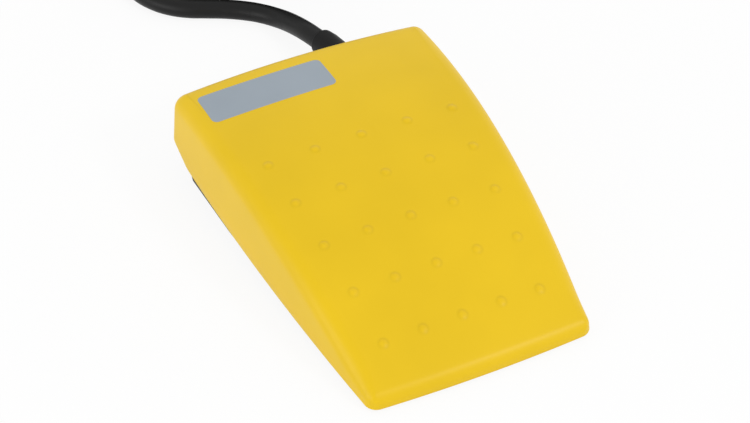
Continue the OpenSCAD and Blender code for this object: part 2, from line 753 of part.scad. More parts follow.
module foot(i) color("black") {
    r = foot_width / 2;
    chamfer = foot_stand / 3;
    translate([foot_places[i].x, foot_places[i].y, 0])
        difference() {
            rotate_extrude()
                polygon([[0, 0], [r - chamfer, 0], [r, chamfer], [r, foot_stand + foot_sunk],
                    [0, foot_stand + foot_sunk]]);
            translate([0, 0, -overrun])
                cylinder(r = r / 2, h = overrun + foot_hollow);
        }
}

module foot_front_left() foot(0);
module foot_front_right() foot(1);
module foot_rear_left() foot(2);
module foot_rear_right() foot(3);

module hinge_pin() color("lightgray") {
    end_chamfer = 0.4;
    translate([-pin_length / 2, hinge_y, hinge_height])
        rotate([0, 90, 0])
        rotate_extrude()
        polygon([[0, 0], [pin_width / 2 - end_chamfer, 0], [pin_width / 2, end_chamfer],
            [pin_width / 2, pin_length - end_chamfer], [pin_width / 2 - end_chamfer, pin_length],
            [0, pin_length]]);
}

// Compression spring whose end coils lie close together
function spring_height(t, length) = let (rise = length - wire_width, close = wire_width + fine_gap)
    t < 1 ? close * t
    : t > spring_turns - 1 ? rise - close * (spring_turns - t)
    : close + (rise - 2 * close) * (t - 1) / (spring_turns - 2);
module spring(side) color("silver") {
    rings = 10;
    mean = (spring_width - wire_width) / 2;
    translate([side * spring_offset, spring_y, spring_seat + wire_width / 2])
        tube([for (i = [0 : rings * spring_turns]) let (t = i / rings)
            [mean * cos(360 * t), mean * sin(360 * t), spring_height(t, spring_rest)]],
            wire_width / 2, 6);
}

module spring_left() spring(-1);
module spring_right() spring(1);

module case_block(x_from, x_to) {
    translate([x_from, switch_y, switch_z])
        cube([x_to - x_from, switch_length, switch_height]);
}

module case_holes() {
    for (hole = [high_hole, low_hole])
        translate([0, hole.x, hole.y])
        bar_x(screw_radius + fine_gap, switch_width + 2 * overrun);
}

// Case open to one side, with ears on top for the lever's pivot
module switch_case() color("black") {
    open_x = -switch_width / 2 + cover_thick;
    deep = switch_width - cover_thick - case_wall;
    ear_x = lever_width / 2 + 2 * loose_gap;
    difference() {
        union() {
            difference() {
                case_block(open_x, switch_width / 2);
                translate([open_x - overrun, switch_y + case_wall, switch_z + case_wall])
                    cube([deep + overrun, switch_length - 2 * case_wall, switch_height - 2 * case_wall]);
            }
            for (hole = [high_hole, low_hole])
                translate([open_x + (deep + overrun) / 2, hole.x, hole.y])
                bar_x(hole_inset - fine_gap, deep + overrun);
            for (side = [-1, 1])
                side_plate(side * (ear_x + ear / 2), ear) {
                    translate([pivot_y, pivot_z])
                        circle(knuckle_radius);
                    translate([pivot_y - knuckle_radius, switch_top - case_wall / 2])
                        square([2 * knuckle_radius, pivot_z - switch_top + case_wall / 2]);
                }
        }
        case_holes();
        translate([0, pivot_y, pivot_z])
            bar_x(pivot_radius + seat_gap, switch_width);
        translate([0, plunger_y, switch_top - 2 * case_wall])
            cylinder(r = plunger_radius + running_fit, h = 3 * case_wall);
        for (z = [open_z, closed_z])
            translate([-tab_width / 2 - fine_gap, contact_y + contact_radius + fine_gap, z - fine_gap])
            cube([tab_width + 2 * fine_gap, switch_length, tab_thick + 2 * fine_gap]);
        translate([-tab_width / 2 - fine_gap, switch_y - overrun, common_z - fine_gap])
            cube([tab_width + 2 * fine_gap, case_wall + 2 * overrun, tab_thick + 2 * fine_gap]);
    }
}

module switch_cover() color("black")
    difference() {
        case_block(-switch_width / 2, -switch_width / 2 + cover_thick - seat_gap);
        case_holes();
    }

module tab(y_from, y_to, z) {
    translate([-tab_width / 2, y_from, z])
        cube([tab_width, y_to - y_from, tab_thick]);
}

// Fixed contact on a tab, facing up or down
module terminal_open() color("goldenrod") {
    tab(contact_y - contact_radius, switch_end + tab_reach, open_z);
    translate([0, contact_y, open_z + tab_thick / 2])
        cylinder(r = contact_radius, h = tab_thick / 2 + contact_high);
}

module terminal_closed() color("goldenrod") {
    tab(contact_y - contact_radius, switch_end + tab_reach, closed_z);
    translate([0, contact_y, closed_z - contact_high])
        cylinder(r = contact_radius, h = tab_thick / 2 + contact_high);
}

// Post inside the case whose foot runs out through the front wall as the tab
module terminal_common() color("goldenrod") {
    tab(switch_y - tab_reach, post_y + tab_thick / 2, common_z);
    translate([-tab_width / 2, post_y - tab_thick / 2, common_z])
        cube([tab_width, tab_thick, blade_z + blade_thick / 2 - blade_eye - fine_gap - common_z]);
}

// Spring strip with an eye rolled round its hinge line
module contact_blade() color("darkorange") {
    translate([-blade_width / 2, post_y, blade_z])
        cube([blade_width, contact_y + contact_radius - post_y, blade_thick]);
    translate([0, post_y, blade_z + blade_thick / 2])
        bar_x(blade_eye, blade_width);
    translate([0, contact_y, blade_z - contact_high])
        cylinder(r = contact_radius, h = 2 * contact_high + blade_thick);
}

// Round button that the lever pushes down on the blade
module plunger() color("firebrick") {
    top = lever_low + plunger_travel - 2 * fine_gap;
    translate([0, plunger_y, plunger_foot])
        rotate_extrude()
        polygon([[0, 0], [plunger_tip, 0],
            [plunger_radius + plunger_collar, (switch_top - case_wall - plunger_foot) / 2],
            [plunger_radius + plunger_collar, switch_top - case_wall - plunger_foot - fine_gap],
            [plunger_radius, switch_top - case_wall - plunger_foot - fine_gap],
            [plunger_radius, top - plunger_foot - plunger_collar],
            [plunger_radius / 2, top - plunger_foot], [0, top - plunger_foot]]);
}

// Strip with a rolled knuckle round the pivot, swung up to its rest pose
module lever() color("silver")
    translate([0, pivot_y, pivot_z])
    rotate([lever_swing, 0, 0])
    difference() {
        union() {
            translate([-lever_width / 2, 0, -knuckle_radius])
                cube([lever_width, presser_setback + lever_tip, lever_thick]);
            bar_x(knuckle_radius, lever_width);
        }
        bar_x(pivot_radius + running_fit, lever_width + 2 * overrun);
    }

module lever_pivot() color("silver")
    translate([0, pivot_y, pivot_z])
    bar_x(pivot_radius, lever_width + 4 * loose_gap + 2 * ear);

// Pan head screw along +Z with its seat at the origin
module screw(length) {
    head_radius = 2.7;
    head_high = 1.9;
    slot = 0.8;
    difference() {
        union() {
            rotate_extrude()
                polygon([[0, -head_high], [head_radius * 0.7, -head_high],
                    [head_radius, -head_high / 2], [head_radius, 0], [0, 0]]);
            cylinder(r = screw_radius, h = length);
        }
        translate([0, 0, -head_high])
            cube([slot, 3 * head_radius, head_high], center = true);
    }
}

module switch_screws() color("silver")
    for (hole = [high_hole, low_hole])
        translate([-switch_width / 2 - seat_gap, hole.x, hole.y])
        rotate([0, 90, 0])
        screw(switch_width + boss_long - overrun);

module clamp_screws() color("silver")
    for (side = [-1, 1])
        translate([exit_x + side * clamp_screw, clamp_y + clamp_long / 2, post_top + clamp_thick + seat_gap])
        rotate([180, 0, 0])
        intersection() {
            screw(clamp_thick + exit_z - tray_top - overrun);
            translate([0, 0, -post_radius])
                cylinder(r = post_radius, h = 3 * clamp_reach);
        }

// Bar over the sheath, grooved to grip it
module cable_clamp() color("dimgray")
    difference() {
        translate([exit_x - clamp_reach, clamp_y, post_top])
            cube([2 * clamp_reach, clamp_long, clamp_thick]);
        translate([exit_x, clamp_y - overrun, exit_z])
            bar_y(relief_bore, clamp_long + 2 * overrun);
        for (side = [-1, 1])
            translate([exit_x + side * clamp_screw, clamp_y + clamp_long / 2, post_top - overrun])
            cylinder(r = screw_radius + fine_gap, h = clamp_thick + 2 * overrun);
    }

module receptacle(y, z) {
    sleeve = [tab_width + 2 * sleeve_side, sleeve_long, tab_thick + 2 * sleeve_wall];
    mid = z + tab_thick / 2;
    difference() {
        union() {
            translate([-sleeve.x / 2, y, mid - sleeve.z / 2])
                cube(sleeve);
            translate([sleeve.x / 2 + barrel_long / 2 - overrun, y + sleeve.y / 2, mid])
                bar_x(core_width / 2 + barrel_wall, barrel_long);
        }
        translate([-tab_width / 2 - fine_gap, y - overrun, z - fine_gap])
            cube([tab_width + 2 * fine_gap, sleeve.y + 2 * overrun, tab_thick + 2 * fine_gap]);
        translate([sleeve.x / 2 + barrel_long, y + sleeve.y / 2, mid])
            bar_x(core_width / 2 + running_fit, 2 * (barrel_long - overrun));
    }
}

module receptacle_common() color("white") receptacle(switch_y - tab_reach, common_z);
module receptacle_open() color("white") receptacle(switch_end + tab_clear, open_z);
module receptacle_closed() color("white") receptacle(switch_end + tab_clear, closed_z);

module core(route) tube(curve(route, 3), core_width / 2, 8);
module core_blue() color("royalblue") core(blue_route);
module core_black() color("black") core(black_route);
module core_brown() color("saddlebrown") core(brown_route);

// Strain relief: one hollow solid swept along the lead, with flex grooves in its tail
function relief_profile() = let (r = lead_radius,
        a = relief_from, b = a + flange_long, c = b + neck_long, d = c + collar_long,
        finish = inner_route[len(inner_route) - 1].y,
        taper = function(y) r * (collar_share + (tip_share - collar_share) * (y - d) / (finish - d)),
        groove_wide = groove_pitch / 3)
    concat([[a, r * flange_share], [b, r * flange_share], [b, r * neck_share], [c, r * neck_share],
            [c, r * collar_share], [d, taper(d)]],
        [for (k = [0 : groove_count - 1]) let (y = d + groove_pitch * k + groove_wide)
            each [[y, taper(y)], [y, taper(y) - groove_share * r],
                [y + groove_wide, taper(y + groove_wide) - groove_share * r],
                [y + groove_wide, taper(y + groove_wide)]]],
        [[finish - r / 2, taper(finish)], [finish - r / 8, taper(finish)], [finish, taper(finish) - r / 8]]);
function along(y) = let (line = curve(inner_route, 1), n = len(line),
        k = max([0, for (i = [0 : n - 2]) if (line[i].y <= y) i]),
        s = (y - line[k].y) / (line[k + 1].y - line[k].y),
        ta = heading(line, k), tb = heading(line, k + 1))
    [line[k] + (line[k + 1] - line[k]) * s, unit(ta + (tb - ta) * s)];
module strain_relief() color("black") {
    outer = [for (p = relief_profile()) let (w = along(p.x)) hoop(w[0], w[1], p.y, relief_sides)];
    inner = [for (p = inner_route) if (p.y > relief_from)
        let (w = along(p.y)) hoop(w[0], w[1], relief_bore, relief_sides)];
    first = let (w = along(relief_from)) hoop(w[0], w[1], relief_bore, relief_sides);
    rings = concat(outer, [for (i = [len(inner) - 1 : -1 : 0]) inner[i]], [first]);
    n = relief_sides;
    m = len(rings);
    polyhedron([for (ring = rings) each ring],
        [for (k = [0 : m - 1], i = [0 : n - 1])
            let (a = k * n + i, b = k * n + (i + 1) % n, c = ((k + 1) % m) * n + (i + 1) % n,
                d = ((k + 1) % m) * n + i)
            each [[a, d, c], [a, c, b]]]);
}

module cable_inner() color("black")
    tube_part(whole_route, 0, lead_from, lead_radius, 10);
module cable() color("black")
    tube_part(whole_route, lead_from, coil_from, lead_radius, 10);
module cable_coil() color("black")
    tube_part(whole_route, coil_from, len(whole_route) - 1, lead_radius, 6);

function tail_route(k, from, to) = [for (i = [0 : 4])
    let (t = from + (to - from) * i / 4, w = climb(t / (tail_long + tip_long)),
        o = (tail_bundle_shares[k] * (1 - w) + tail_fan_shares[k] * w) * core_width)
    coil_end + coil_out * t + tail_side * (o.x - t * t / coil_width) + [0, 0, o.y]];

module cable_tail_cores() color("saddlebrown")
    for (k = [0 : 2])
        tube(tail_route(k, loose_gap, tail_long), core_width / 2, 8);

module cable_tail_tips() color("silver")
    for (k = [0 : 2])
        tube(tail_route(k, tail_long + fine_gap, tail_long + tip_long), tip_radius, 8);

pedal_cover();
label_plate();
base_tray();
foot_front_left();
foot_front_right();
foot_rear_left();
foot_rear_right();
hinge_pin();
spring_left();
spring_right();
switch_case();
switch_cover();
terminal_common();
terminal_open();
terminal_closed();
contact_blade();
plunger();
lever();
lever_pivot();
switch_screws();
receptacle_common();
receptacle_open();
receptacle_closed();
core_blue();
core_black();
core_brown();
cable_clamp();
clamp_screws();
strain_relief();
cable_inner();
cable();
cable_coil();
cable_tail_cores();
cable_tail_tips();
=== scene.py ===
# Foot switch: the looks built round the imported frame. Lengths in the dictionaries are
# millimetres, and mm turns them into metres.
import json
import math

import bmesh
import bpy
from mathutils import Matrix, Vector


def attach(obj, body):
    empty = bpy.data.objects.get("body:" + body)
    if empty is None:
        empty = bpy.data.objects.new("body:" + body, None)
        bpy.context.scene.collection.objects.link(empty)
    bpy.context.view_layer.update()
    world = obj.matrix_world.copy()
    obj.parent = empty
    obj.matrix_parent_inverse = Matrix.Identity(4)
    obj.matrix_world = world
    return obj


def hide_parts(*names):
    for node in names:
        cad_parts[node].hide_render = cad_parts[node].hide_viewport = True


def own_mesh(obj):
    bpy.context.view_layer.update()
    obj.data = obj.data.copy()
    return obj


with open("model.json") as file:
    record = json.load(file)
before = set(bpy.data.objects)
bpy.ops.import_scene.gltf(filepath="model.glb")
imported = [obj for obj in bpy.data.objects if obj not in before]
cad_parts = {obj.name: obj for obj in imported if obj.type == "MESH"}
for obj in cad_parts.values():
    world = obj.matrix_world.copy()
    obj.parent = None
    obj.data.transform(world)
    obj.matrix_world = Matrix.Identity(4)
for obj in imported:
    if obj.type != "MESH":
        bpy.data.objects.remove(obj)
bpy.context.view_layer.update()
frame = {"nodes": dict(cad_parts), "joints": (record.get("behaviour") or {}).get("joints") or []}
mm = 0.001
cadNodes = frame["nodes"]
pedalJoint = next(joint for joint in frame["joints"] if joint["name"] == "pedal_hinge")


# Mesh helpers

weldGap, edgeGap = 1e-7, 1e-8  # metres: points and edges closer than this are one


def addObject(name, data):
    made = bpy.data.objects.new(name, data)
    bpy.context.scene.collection.objects.link(made)
    return made


def linkMesh(name, mesh, material, body, smoothAngle):
    # smooth faces, sharp edges past an angle, one material and a body to ride on
    mesh.shade_smooth()
    mesh.set_sharp_from_angle(angle=math.radians(smoothAngle))
    piece = addObject(name, mesh)
    mesh.materials.clear()
    mesh.materials.append(material)
    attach(piece, body)
    return piece


def cleanMesh(name, shells):
    # several closed shells, each (points in mm, faces), become one mesh in metres
    mesh = bpy.data.meshes.new(name)
    points, faces = [], []
    for shellPoints, shellFaces in shells:
        start = len(points)
        points += [(p[0] * mm, p[1] * mm, p[2] * mm) for p in shellPoints]
        faces += [[start + i for i in face] for face in shellFaces]
    mesh.from_pydata(points, [], faces)
    work = bmesh.new()
    work.from_mesh(mesh)
    bmesh.ops.remove_doubles(work, verts=work.verts, dist=weldGap)
    bmesh.ops.dissolve_degenerate(work, edges=work.edges, dist=edgeGap)
    bmesh.ops.recalc_face_normals(work, faces=work.faces)
    work.to_mesh(mesh)
    work.free()
    return mesh


def cutMesh(mesh, cutters):
    # takes the closed cutter meshes away and returns the new mesh
    target = addObject("cutTarget", mesh)
    helpers = []
    for cutter in cutters:
        helper = addObject("cutHelper", cutter)
        cut = target.modifiers.new("cut", "BOOLEAN")
        cut.operation = "DIFFERENCE"
        cut.solver = "EXACT"
        cut.object = helper
        helpers.append(helper)
    bpy.context.view_layer.update()
    result = bpy.data.meshes.new_from_object(
        target.evaluated_get(bpy.context.evaluated_depsgraph_get()))
    for helper in [target] + helpers:
        bpy.data.objects.remove(helper)
    return result


def joinRings(rings, closed=False):
    # quads between neighbouring rings of equal count
    count = len(rings[0])
    points = [p for ring in rings for p in ring]
    last = len(rings) if closed else len(rings) - 1
    faces = []
    for k in range(last):
        a, b = k * count, ((k + 1) % len(rings)) * count
        faces += [[a + i, a + (i + 1) % count, b + (i + 1) % count, b + i] for i in range(count)]
    return points, faces


def cappedRings(rings):
    # rings joined into a closed tube, with a flat face at each end
    points, faces = joinRings(rings)
    count = len(rings[0])
    faces.append(list(range(count)))
    faces.append([len(points) - count + i for i in range(count)])
    return points, faces


def slab(outline, low, high, axis):
    # closed plate whose outline lies across the given axis, "x" or "y"
    place = {"x": lambda p, h: (h, p[0], p[1]), "y": lambda p, h: (p[0], h, p[1])}[axis]
    return cappedRings([[place(p, h) for p in outline] for h in (low, high)])


def latheZ(centre, profile, steps):
    # profile points are (radius, z), and a flat face closes each end
    rings = [[(centre[0] + r * math.cos(2 * math.pi * k / steps),
               centre[1] + r * math.sin(2 * math.pi * k / steps), z) for k in range(steps)]
             for r, z in profile]
    return cappedRings(rings)


def hoop(place, heading, radius, sides):
    # ring of points round a route, square to its heading
    side = heading.cross(Vector((0, 0, 1))).normalized()
    lift = heading.cross(side)
    return [place + (side * math.cos(a) + lift * math.sin(a)) * radius
            for a in [2 * math.pi * k / sides for k in range(sides)]]


def headingAt(route, i):
    # direction of a route at its point i
    return (route[min(i + 1, len(route) - 1)] - route[max(i - 1, 0)]).normalized()


def mix(a, b, share):
    return a + (b - a) * share


def smoothStep(share):
    share = min(max(share, 0.0), 1.0)
    return share * share * (3 - 2 * share)


# Material helpers

texture = {"cloudDetail": 3, "cloudLow": 0.3, "cloudHigh": 0.7, "grainDetail": 2}


def linearColour(hexText):
    # sRGB hex to the linear values that a shader takes
    values = [int(hexText[i:i + 2], 16) / 255 for i in (1, 3, 5)]
    return (*[v / 12.92 if v <= 0.04045 else ((v + 0.055) / 1.055) ** 2.4 for v in values], 1.0)


def addNode(tree, kind, inputs=None, links=None, **settings):
    # one node with its settings, its inputs' values and what feeds them
    node = tree.nodes.new(kind)
    for key, value in settings.items():
        setattr(node, key, value)
    for key, value in (inputs or {}).items():
        node.inputs[key].default_value = value
    for key, socket in (links or {}).items():
        tree.links.new(socket, node.inputs[key])
    return node


def startMaterial(name, roughness, ior=1.5, metallic=0.0, gleam=0.5):
    # gleam is the strength of a plastic's shine; a metal keeps the default IOR
    material = bpy.data.materials.new(name)
    material.use_nodes = True
    tree = material.node_tree
    shader = tree.nodes["Principled BSDF"]
    shader.inputs["Roughness"].default_value = roughness
    shader.inputs["Metallic"].default_value = metallic
    if not metallic:
        shader.inputs["IOR"].default_value = ior
        shader.inputs["Specular IOR Level"].default_value = gleam
    place = addNode(tree, "ShaderNodeTexCoord").outputs["Object"]
    return material, tree, shader, place


def addMottle(tree, shader, place, lowHex, highHex, sizeMm):
    # slow drift between two near colours
    cloud = addNode(tree, "ShaderNodeTexNoise",
                    {"Scale": 1 / (sizeMm * mm), "Detail": texture["cloudDetail"]}, {"Vector": place})
    ramp = addNode(tree, "ShaderNodeValToRGB", links={"Fac": cloud.outputs["Fac"]})
    low, high = ramp.color_ramp.elements
    low.position, high.position = texture["cloudLow"], texture["cloudHigh"]
    low.color, high.color = linearColour(lowHex), linearColour(highHex)
    tree.links.new(ramp.outputs["Color"], shader.inputs["Base Color"])
    return ramp.outputs["Color"]


def addGrain(tree, shader, place, sizeMm, depthMm, roughSpread, stretch=(1, 1, 1)):
    # fine relief, which also moves the roughness a little; a real tool's texture is too fine
    # to show in the render, so the sizes given here are coarser
    aim = addNode(tree, "ShaderNodeMapping", {"Scale": stretch}, {"Vector": place})
    grain = addNode(tree, "ShaderNodeTexNoise",
                    {"Scale": 1 / (sizeMm * mm), "Detail": texture["grainDetail"]},
                    {"Vector": aim.outputs["Vector"]})
    bump = addNode(tree, "ShaderNodeBump", {"Strength": 1.0, "Distance": depthMm * mm},
                   {"Height": grain.outputs["Fac"]})
    tree.links.new(bump.outputs["Normal"], shader.inputs["Normal"])
    middle = shader.inputs["Roughness"].default_value
    spread = addNode(tree, "ShaderNodeMapRange",
                     {"To Min": middle - roughSpread, "To Max": middle + roughSpread},
                     {"Value": grain.outputs["Fac"]})
    tree.links.new(spread.outputs["Result"], shader.inputs["Roughness"])


# Camera, floor and light

view = {
    "place": (-223.861, -469.515, 465.502),
    "right": (0.900165, -0.435345, -0.013293),
    "back": (-0.320533, -0.682814, 0.656524),
    "lens": 103.494, "sensor": 36,
    "near": 10, "far": 20000,  # clipping
}


def makeCamera():
    data = bpy.data.cameras.new("camera")
    data.lens = view["lens"]
    data.sensor_width = view["sensor"]
    data.sensor_fit = "HORIZONTAL"
    data.clip_start, data.clip_end = view["near"] * mm, view["far"] * mm
    camera = addObject("camera", data)
    right, back = Vector(view["right"]), Vector(view["back"])
    turn = Matrix((right, back.cross(right), back)).transposed()
    camera.matrix_world = Matrix.Translation(Vector(view["place"]) * mm) @ turn.to_4x4()
    bpy.context.scene.camera = camera


stage = {
    "floorSize": 6000, "floorHex": "#F4F4F4", "floorRough": 0.9,
    "floorGlow": 0.9,  # share of plain white in what the camera sees of the floor
    "worldLevel": 0.82, "worldSlope": 0.15,  # the room is a little brighter on the right
    "keySize": 320, "keyPower": 4.8, "keyPlace": (600, -1000, 900),
    "fillSize": 900, "fillPower": 5.0, "fillPlace": (-1050, -150, 130),
}


def seenRays(tree):
    # 1 for what the camera sees, also in metal and through glass
    rays = addNode(tree, "ShaderNodeLightPath").outputs
    seen = addNode(tree, "ShaderNodeMath", links={0: rays["Is Camera Ray"], 1: rays["Is Glossy Ray"]},
                   operation="MAXIMUM").outputs[0]
    return addNode(tree, "ShaderNodeMath", links={0: seen, 1: rays["Is Transmission Ray"]},
                   operation="MAXIMUM").outputs[0]


def makeWorld():
    # soft white room, which the camera sees as plain white
    world = bpy.data.worlds.new("studio")
    bpy.context.scene.world = world
    world.use_nodes = True
    tree = world.node_tree
    aim = addNode(tree, "ShaderNodeTexCoord").outputs["Generated"]
    across = addNode(tree, "ShaderNodeSeparateXYZ", links={"Vector": aim}).outputs["X"]
    middle, side = stage["worldLevel"], stage["worldSlope"]
    soft = addNode(tree, "ShaderNodeMapRange",
                   {"From Min": -1.0, "To Min": middle - side, "To Max": middle + side}, {"Value": across})
    level = addNode(tree, "ShaderNodeMapRange", {"To Max": 1.0},
                    {"Value": seenRays(tree), "To Min": soft.outputs["Result"]})
    back = tree.nodes["Background"]
    back.inputs["Color"].default_value = (1, 1, 1, 1)
    tree.links.new(level.outputs["Result"], back.inputs["Strength"])


def makeFloor():
    # matt painted card: near white without a shine, and it keeps a soft shadow
    half = stage["floorSize"] / 2
    mesh = bpy.data.meshes.new("floor")
    mesh.from_pydata([Vector(p) * mm for p in ((-half, -half, 0), (half, -half, 0),
                                               (half, half, 0), (-half, half, 0))], [], [(0, 1, 2, 3)])
    floor = addObject("floor", mesh)
    material, tree, shader, place = startMaterial("matt white sweep", stage["floorRough"])
    shader.inputs["Base Color"].default_value = linearColour(stage["floorHex"])
    share = addNode(tree, "ShaderNodeMath", {1: stage["floorGlow"]}, {0: seenRays(tree)},
                    operation="MULTIPLY")
    white = addNode(tree, "ShaderNodeEmission", {"Color": (1, 1, 1, 1), "Strength": 1.0})
    blend = addNode(tree, "ShaderNodeMixShader",
                    links={0: share.outputs[0], 1: shader.outputs[0], 2: white.outputs[0]})
    tree.links.new(blend.outputs[0], tree.nodes["Material Output"].inputs["Surface"])
    mesh.materials.append(material)


def makeLamp(name):
    # round soft lamp that faces the origin
    data = bpy.data.lights.new(name, "AREA")
    data.shape = "DISK"
    data.size = stage[name + "Size"] * mm
    data.energy = stage[name + "Power"]
    lamp = addObject(name, data)
    lamp.location = Vector(stage[name + "Place"]) * mm
    lamp.rotation_mode = "QUATERNION"
    lamp.rotation_quaternion = (-lamp.location).to_track_quat("-Z", "Y")


bpy.context.scene.view_settings.view_transform = "Standard"
makeCamera()
makeWorld()
makeFloor()
makeLamp("key")
makeLamp("fill")
print("camera, floor and light made")


# Lead: the free stretch's points lie on the solid's own route, and the coil follows the
# same spiral in four layers

lead = {
    "width": 7.2,
    "route": [(21.8, 98.5, 8.6), (20.4, 105, 8.1), (19.2, 112, 6.7), (17.9, 118, 5.3),
              (15.8, 123.5, 4.2), (12.5, 128.5, 3.7), (8, 132.8, 3.6), (2, 137, 3.6),
              (-4.5, 140.6, 3.6), (-10, 143.6, 3.6), (-15.5, 148.2, 3.6), (-19.8, 154.4, 3.6),
              (-22.6, 162, 3.6), (-23.4, 170.5, 3.6), (-22, 179.5, 3.6), (-19, 187.5, 3.6),
              (-15, 195.5, 3.6), (-11, 203.5, 3.6), (-5.6, 214.3, 3.6)],
    "coilWidth": 80, "coilTurns": 7.5, "coilGap": 0.6, "coilLayers": 4, "turnPoints": 24,
    "climbTurns": 0.5,  # turn in which the lead climbs from one layer to the next
    "roundSteps": 6, "pathSteps": 4,
    "lowHex": "#0E0E0E", "highHex": "#141414",
    "cores": [("Blue", "#1F4FA8", "#2559B5"), ("Black", "#202020", "#292929"),
              ("Brown", "#5A3318", "#66401F")],
    "coreWidth": 2.4, "coreSink": 0.3, "corePoints": 8, "tailLong": 22,
    "tipLong": 6, "tipRadius": 0.8, "tipSink": 0.1, "tipPoints": 12,
    "bundleShares": [(-0.56, -0.32), (0, 0.64), (0.56, -0.32)],
    "fanShares": [(-1.4, -0.9), (0, -0.8), (1.4, -0.9)],
    "strandCount": 7, "strandTurns": 0.8, "strandFit": 0.98, "strandSides": 8,
}


def extrudedPvc(name, lowHex, highHex):
    # flexible PVC, extruded: satin, and faintly uneven in the light
    material, tree, shader, place = startMaterial(name, roughness=0.42, ior=1.53, gleam=0.2)
    addMottle(tree, shader, place, lowHex, highHex, sizeMm=30)
    addGrain(tree, shader, place, sizeMm=1.4, depthMm=0.02, roughSpread=0.05)
    return material


def tinnedStrands():
    # twisted copper strands dipped in tin: bright, softly uneven
    material, tree, shader, place = startMaterial("tinned copper strands", roughness=0.32, metallic=1.0)
    addMottle(tree, shader, place, "#A9A9A4", "#D2D2CE", sizeMm=1.5)
    addGrain(tree, shader, place, sizeMm=0.4, depthMm=0.01, roughSpread=0.08)
    return material


def coilRoute(start, heading):
    # spiral that goes in and out layer by layer; also gives the heading of its end
    pitch = lead["width"] + lead["coilGap"]
    layerTurns = lead["coilTurns"] / lead["coilLayers"]
    outer = lead["coilWidth"] / 2 + pitch * layerTurns / 2
    centre = start + Vector((heading.y, -heading.x, 0)) * outer
    phase = math.atan2(start.y - centre.y, start.x - centre.x)
    points = []
    for i in range(int(lead["turnPoints"] * lead["coilTurns"]) + 1):
        turn = i / lead["turnPoints"]
        layer = min(int(turn / layerTurns), lead["coilLayers"] - 1)
        share = turn / layerTurns - layer
        radius = outer - pitch * layerTurns * (share if layer % 2 == 0 else 1 - share)
        height = sum(smoothStep((turn - k * layerTurns) / lead["climbTurns"] + 0.5)
                     for k in range(1, lead["coilLayers"]))
        angle = phase - 2 * math.pi * turn
        points.append(centre + Vector((radius * math.cos(angle), radius * math.sin(angle),
                                       pitch * height)))
    out = (points[-1] - points[-2]).normalized()
    return points + [points[-1] + out * lead["width"]], out


def makeCurve(name, points, radius, material):
    # round cord along points in mm, riding on the base
    data = bpy.data.curves.new(name, "CURVE")
    data.dimensions = "3D"
    data.bevel_depth = radius * mm
    data.bevel_resolution = lead["roundSteps"]
    data.resolution_u = lead["pathSteps"]
    data.use_fill_caps = True
    spline = data.splines.new("BEZIER")
    spline.bezier_points.add(len(points) - 1)
    for point, place in zip(spline.bezier_points, points):
        point.co = place * mm
        point.handle_left_type = point.handle_right_type = "AUTO"
    data.materials.append(material)
    piece = addObject(name, data)
    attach(piece, "base")
    return piece


def tailPlace(end, out, core, distance):
    # middle of a bared core at a distance past the sheath: the three fan out
    share = smoothStep(distance / (lead["tailLong"] + lead["tipLong"]))
    bundle, fan = Vector(lead["bundleShares"][core]), Vector(lead["fanShares"][core])
    offset = bundle.lerp(fan, share) * lead["coreWidth"]
    inward = offset.x - distance * distance / lead["coilWidth"]
    return end + out * distance + Vector((-out.y, out.x, 0)) * inward + Vector((0, 0, offset.y))


def makeTips(end, out):
    # each tip is a bundle of strands laid in a slow twist round a middle one
    shells = []
    tail, sink, steps = lead["tailLong"], lead["tipSink"], lead["tipPoints"]
    strandRadius = lead["tipRadius"] / 3
    for core in range(len(lead["bundleShares"])):
        line = [tailPlace(end, out, core, tail + sink + (lead["tipLong"] - sink) * i / steps)
                for i in range(steps + 1)]
        for strand in range(lead["strandCount"]):
            path = []
            for i, place in enumerate(line):
                heading = headingAt(line, i)
                around = 2 * math.pi * (strand / (lead["strandCount"] - 1)
                                        + lead["strandTurns"] * i / steps)
                reach = 0 if strand == lead["strandCount"] - 1 else 2 * strandRadius
                side = heading.cross(Vector((0, 0, 1))).normalized()
                path.append(place + (side * math.cos(around)
                                     + heading.cross(side) * math.sin(around)) * reach)
            shells.append(cappedRings([hoop(p, headingAt(path, i), strandRadius * lead["strandFit"],
                                            lead["strandSides"]) for i, p in enumerate(path)]))
    mesh = cleanMesh("tailTips", shells)
    tips = linkMesh("tailTips", mesh, tinnedStrands(), "base", smoothAngle=50)
    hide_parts("cable_tail_tips")
    return tips


def makeLead():
    free = [Vector(p) for p in lead["route"]]
    heading = (free[-1] - free[-2]).normalized()
    wound, out = coilRoute(free[-1], heading)
    route = free + wound[1:]
    sheath = extrudedPvc("extruded black PVC sheath", lead["lowHex"], lead["highHex"])
    cord = makeCurve("lead", route, lead["width"] / 2, sheath)
    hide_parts("cable", "cable_coil")
    sink, steps = lead["coreSink"], lead["corePoints"]
    for core, (colour, lowHex, highHex) in enumerate(lead["cores"]):
        line = [tailPlace(wound[-1], out, core, sink + (lead["tailLong"] - sink) * i / steps)
                for i in range(steps + 1)]
        look = extrudedPvc("PVC insulation core" + colour, lowHex, highHex)
        piece = makeCurve("tailCore" + colour, line, lead["coreWidth"] / 2, look)
        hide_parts("cable_tail_cores")
    makeTips(wound[-1], out)
    return sheath


sheathLook = makeLead()
print("lead made")


# Pedal: one moulded shell. It is worked out pressed flat, as it was moulded, and then
# swung up about the hinge to where it rests.

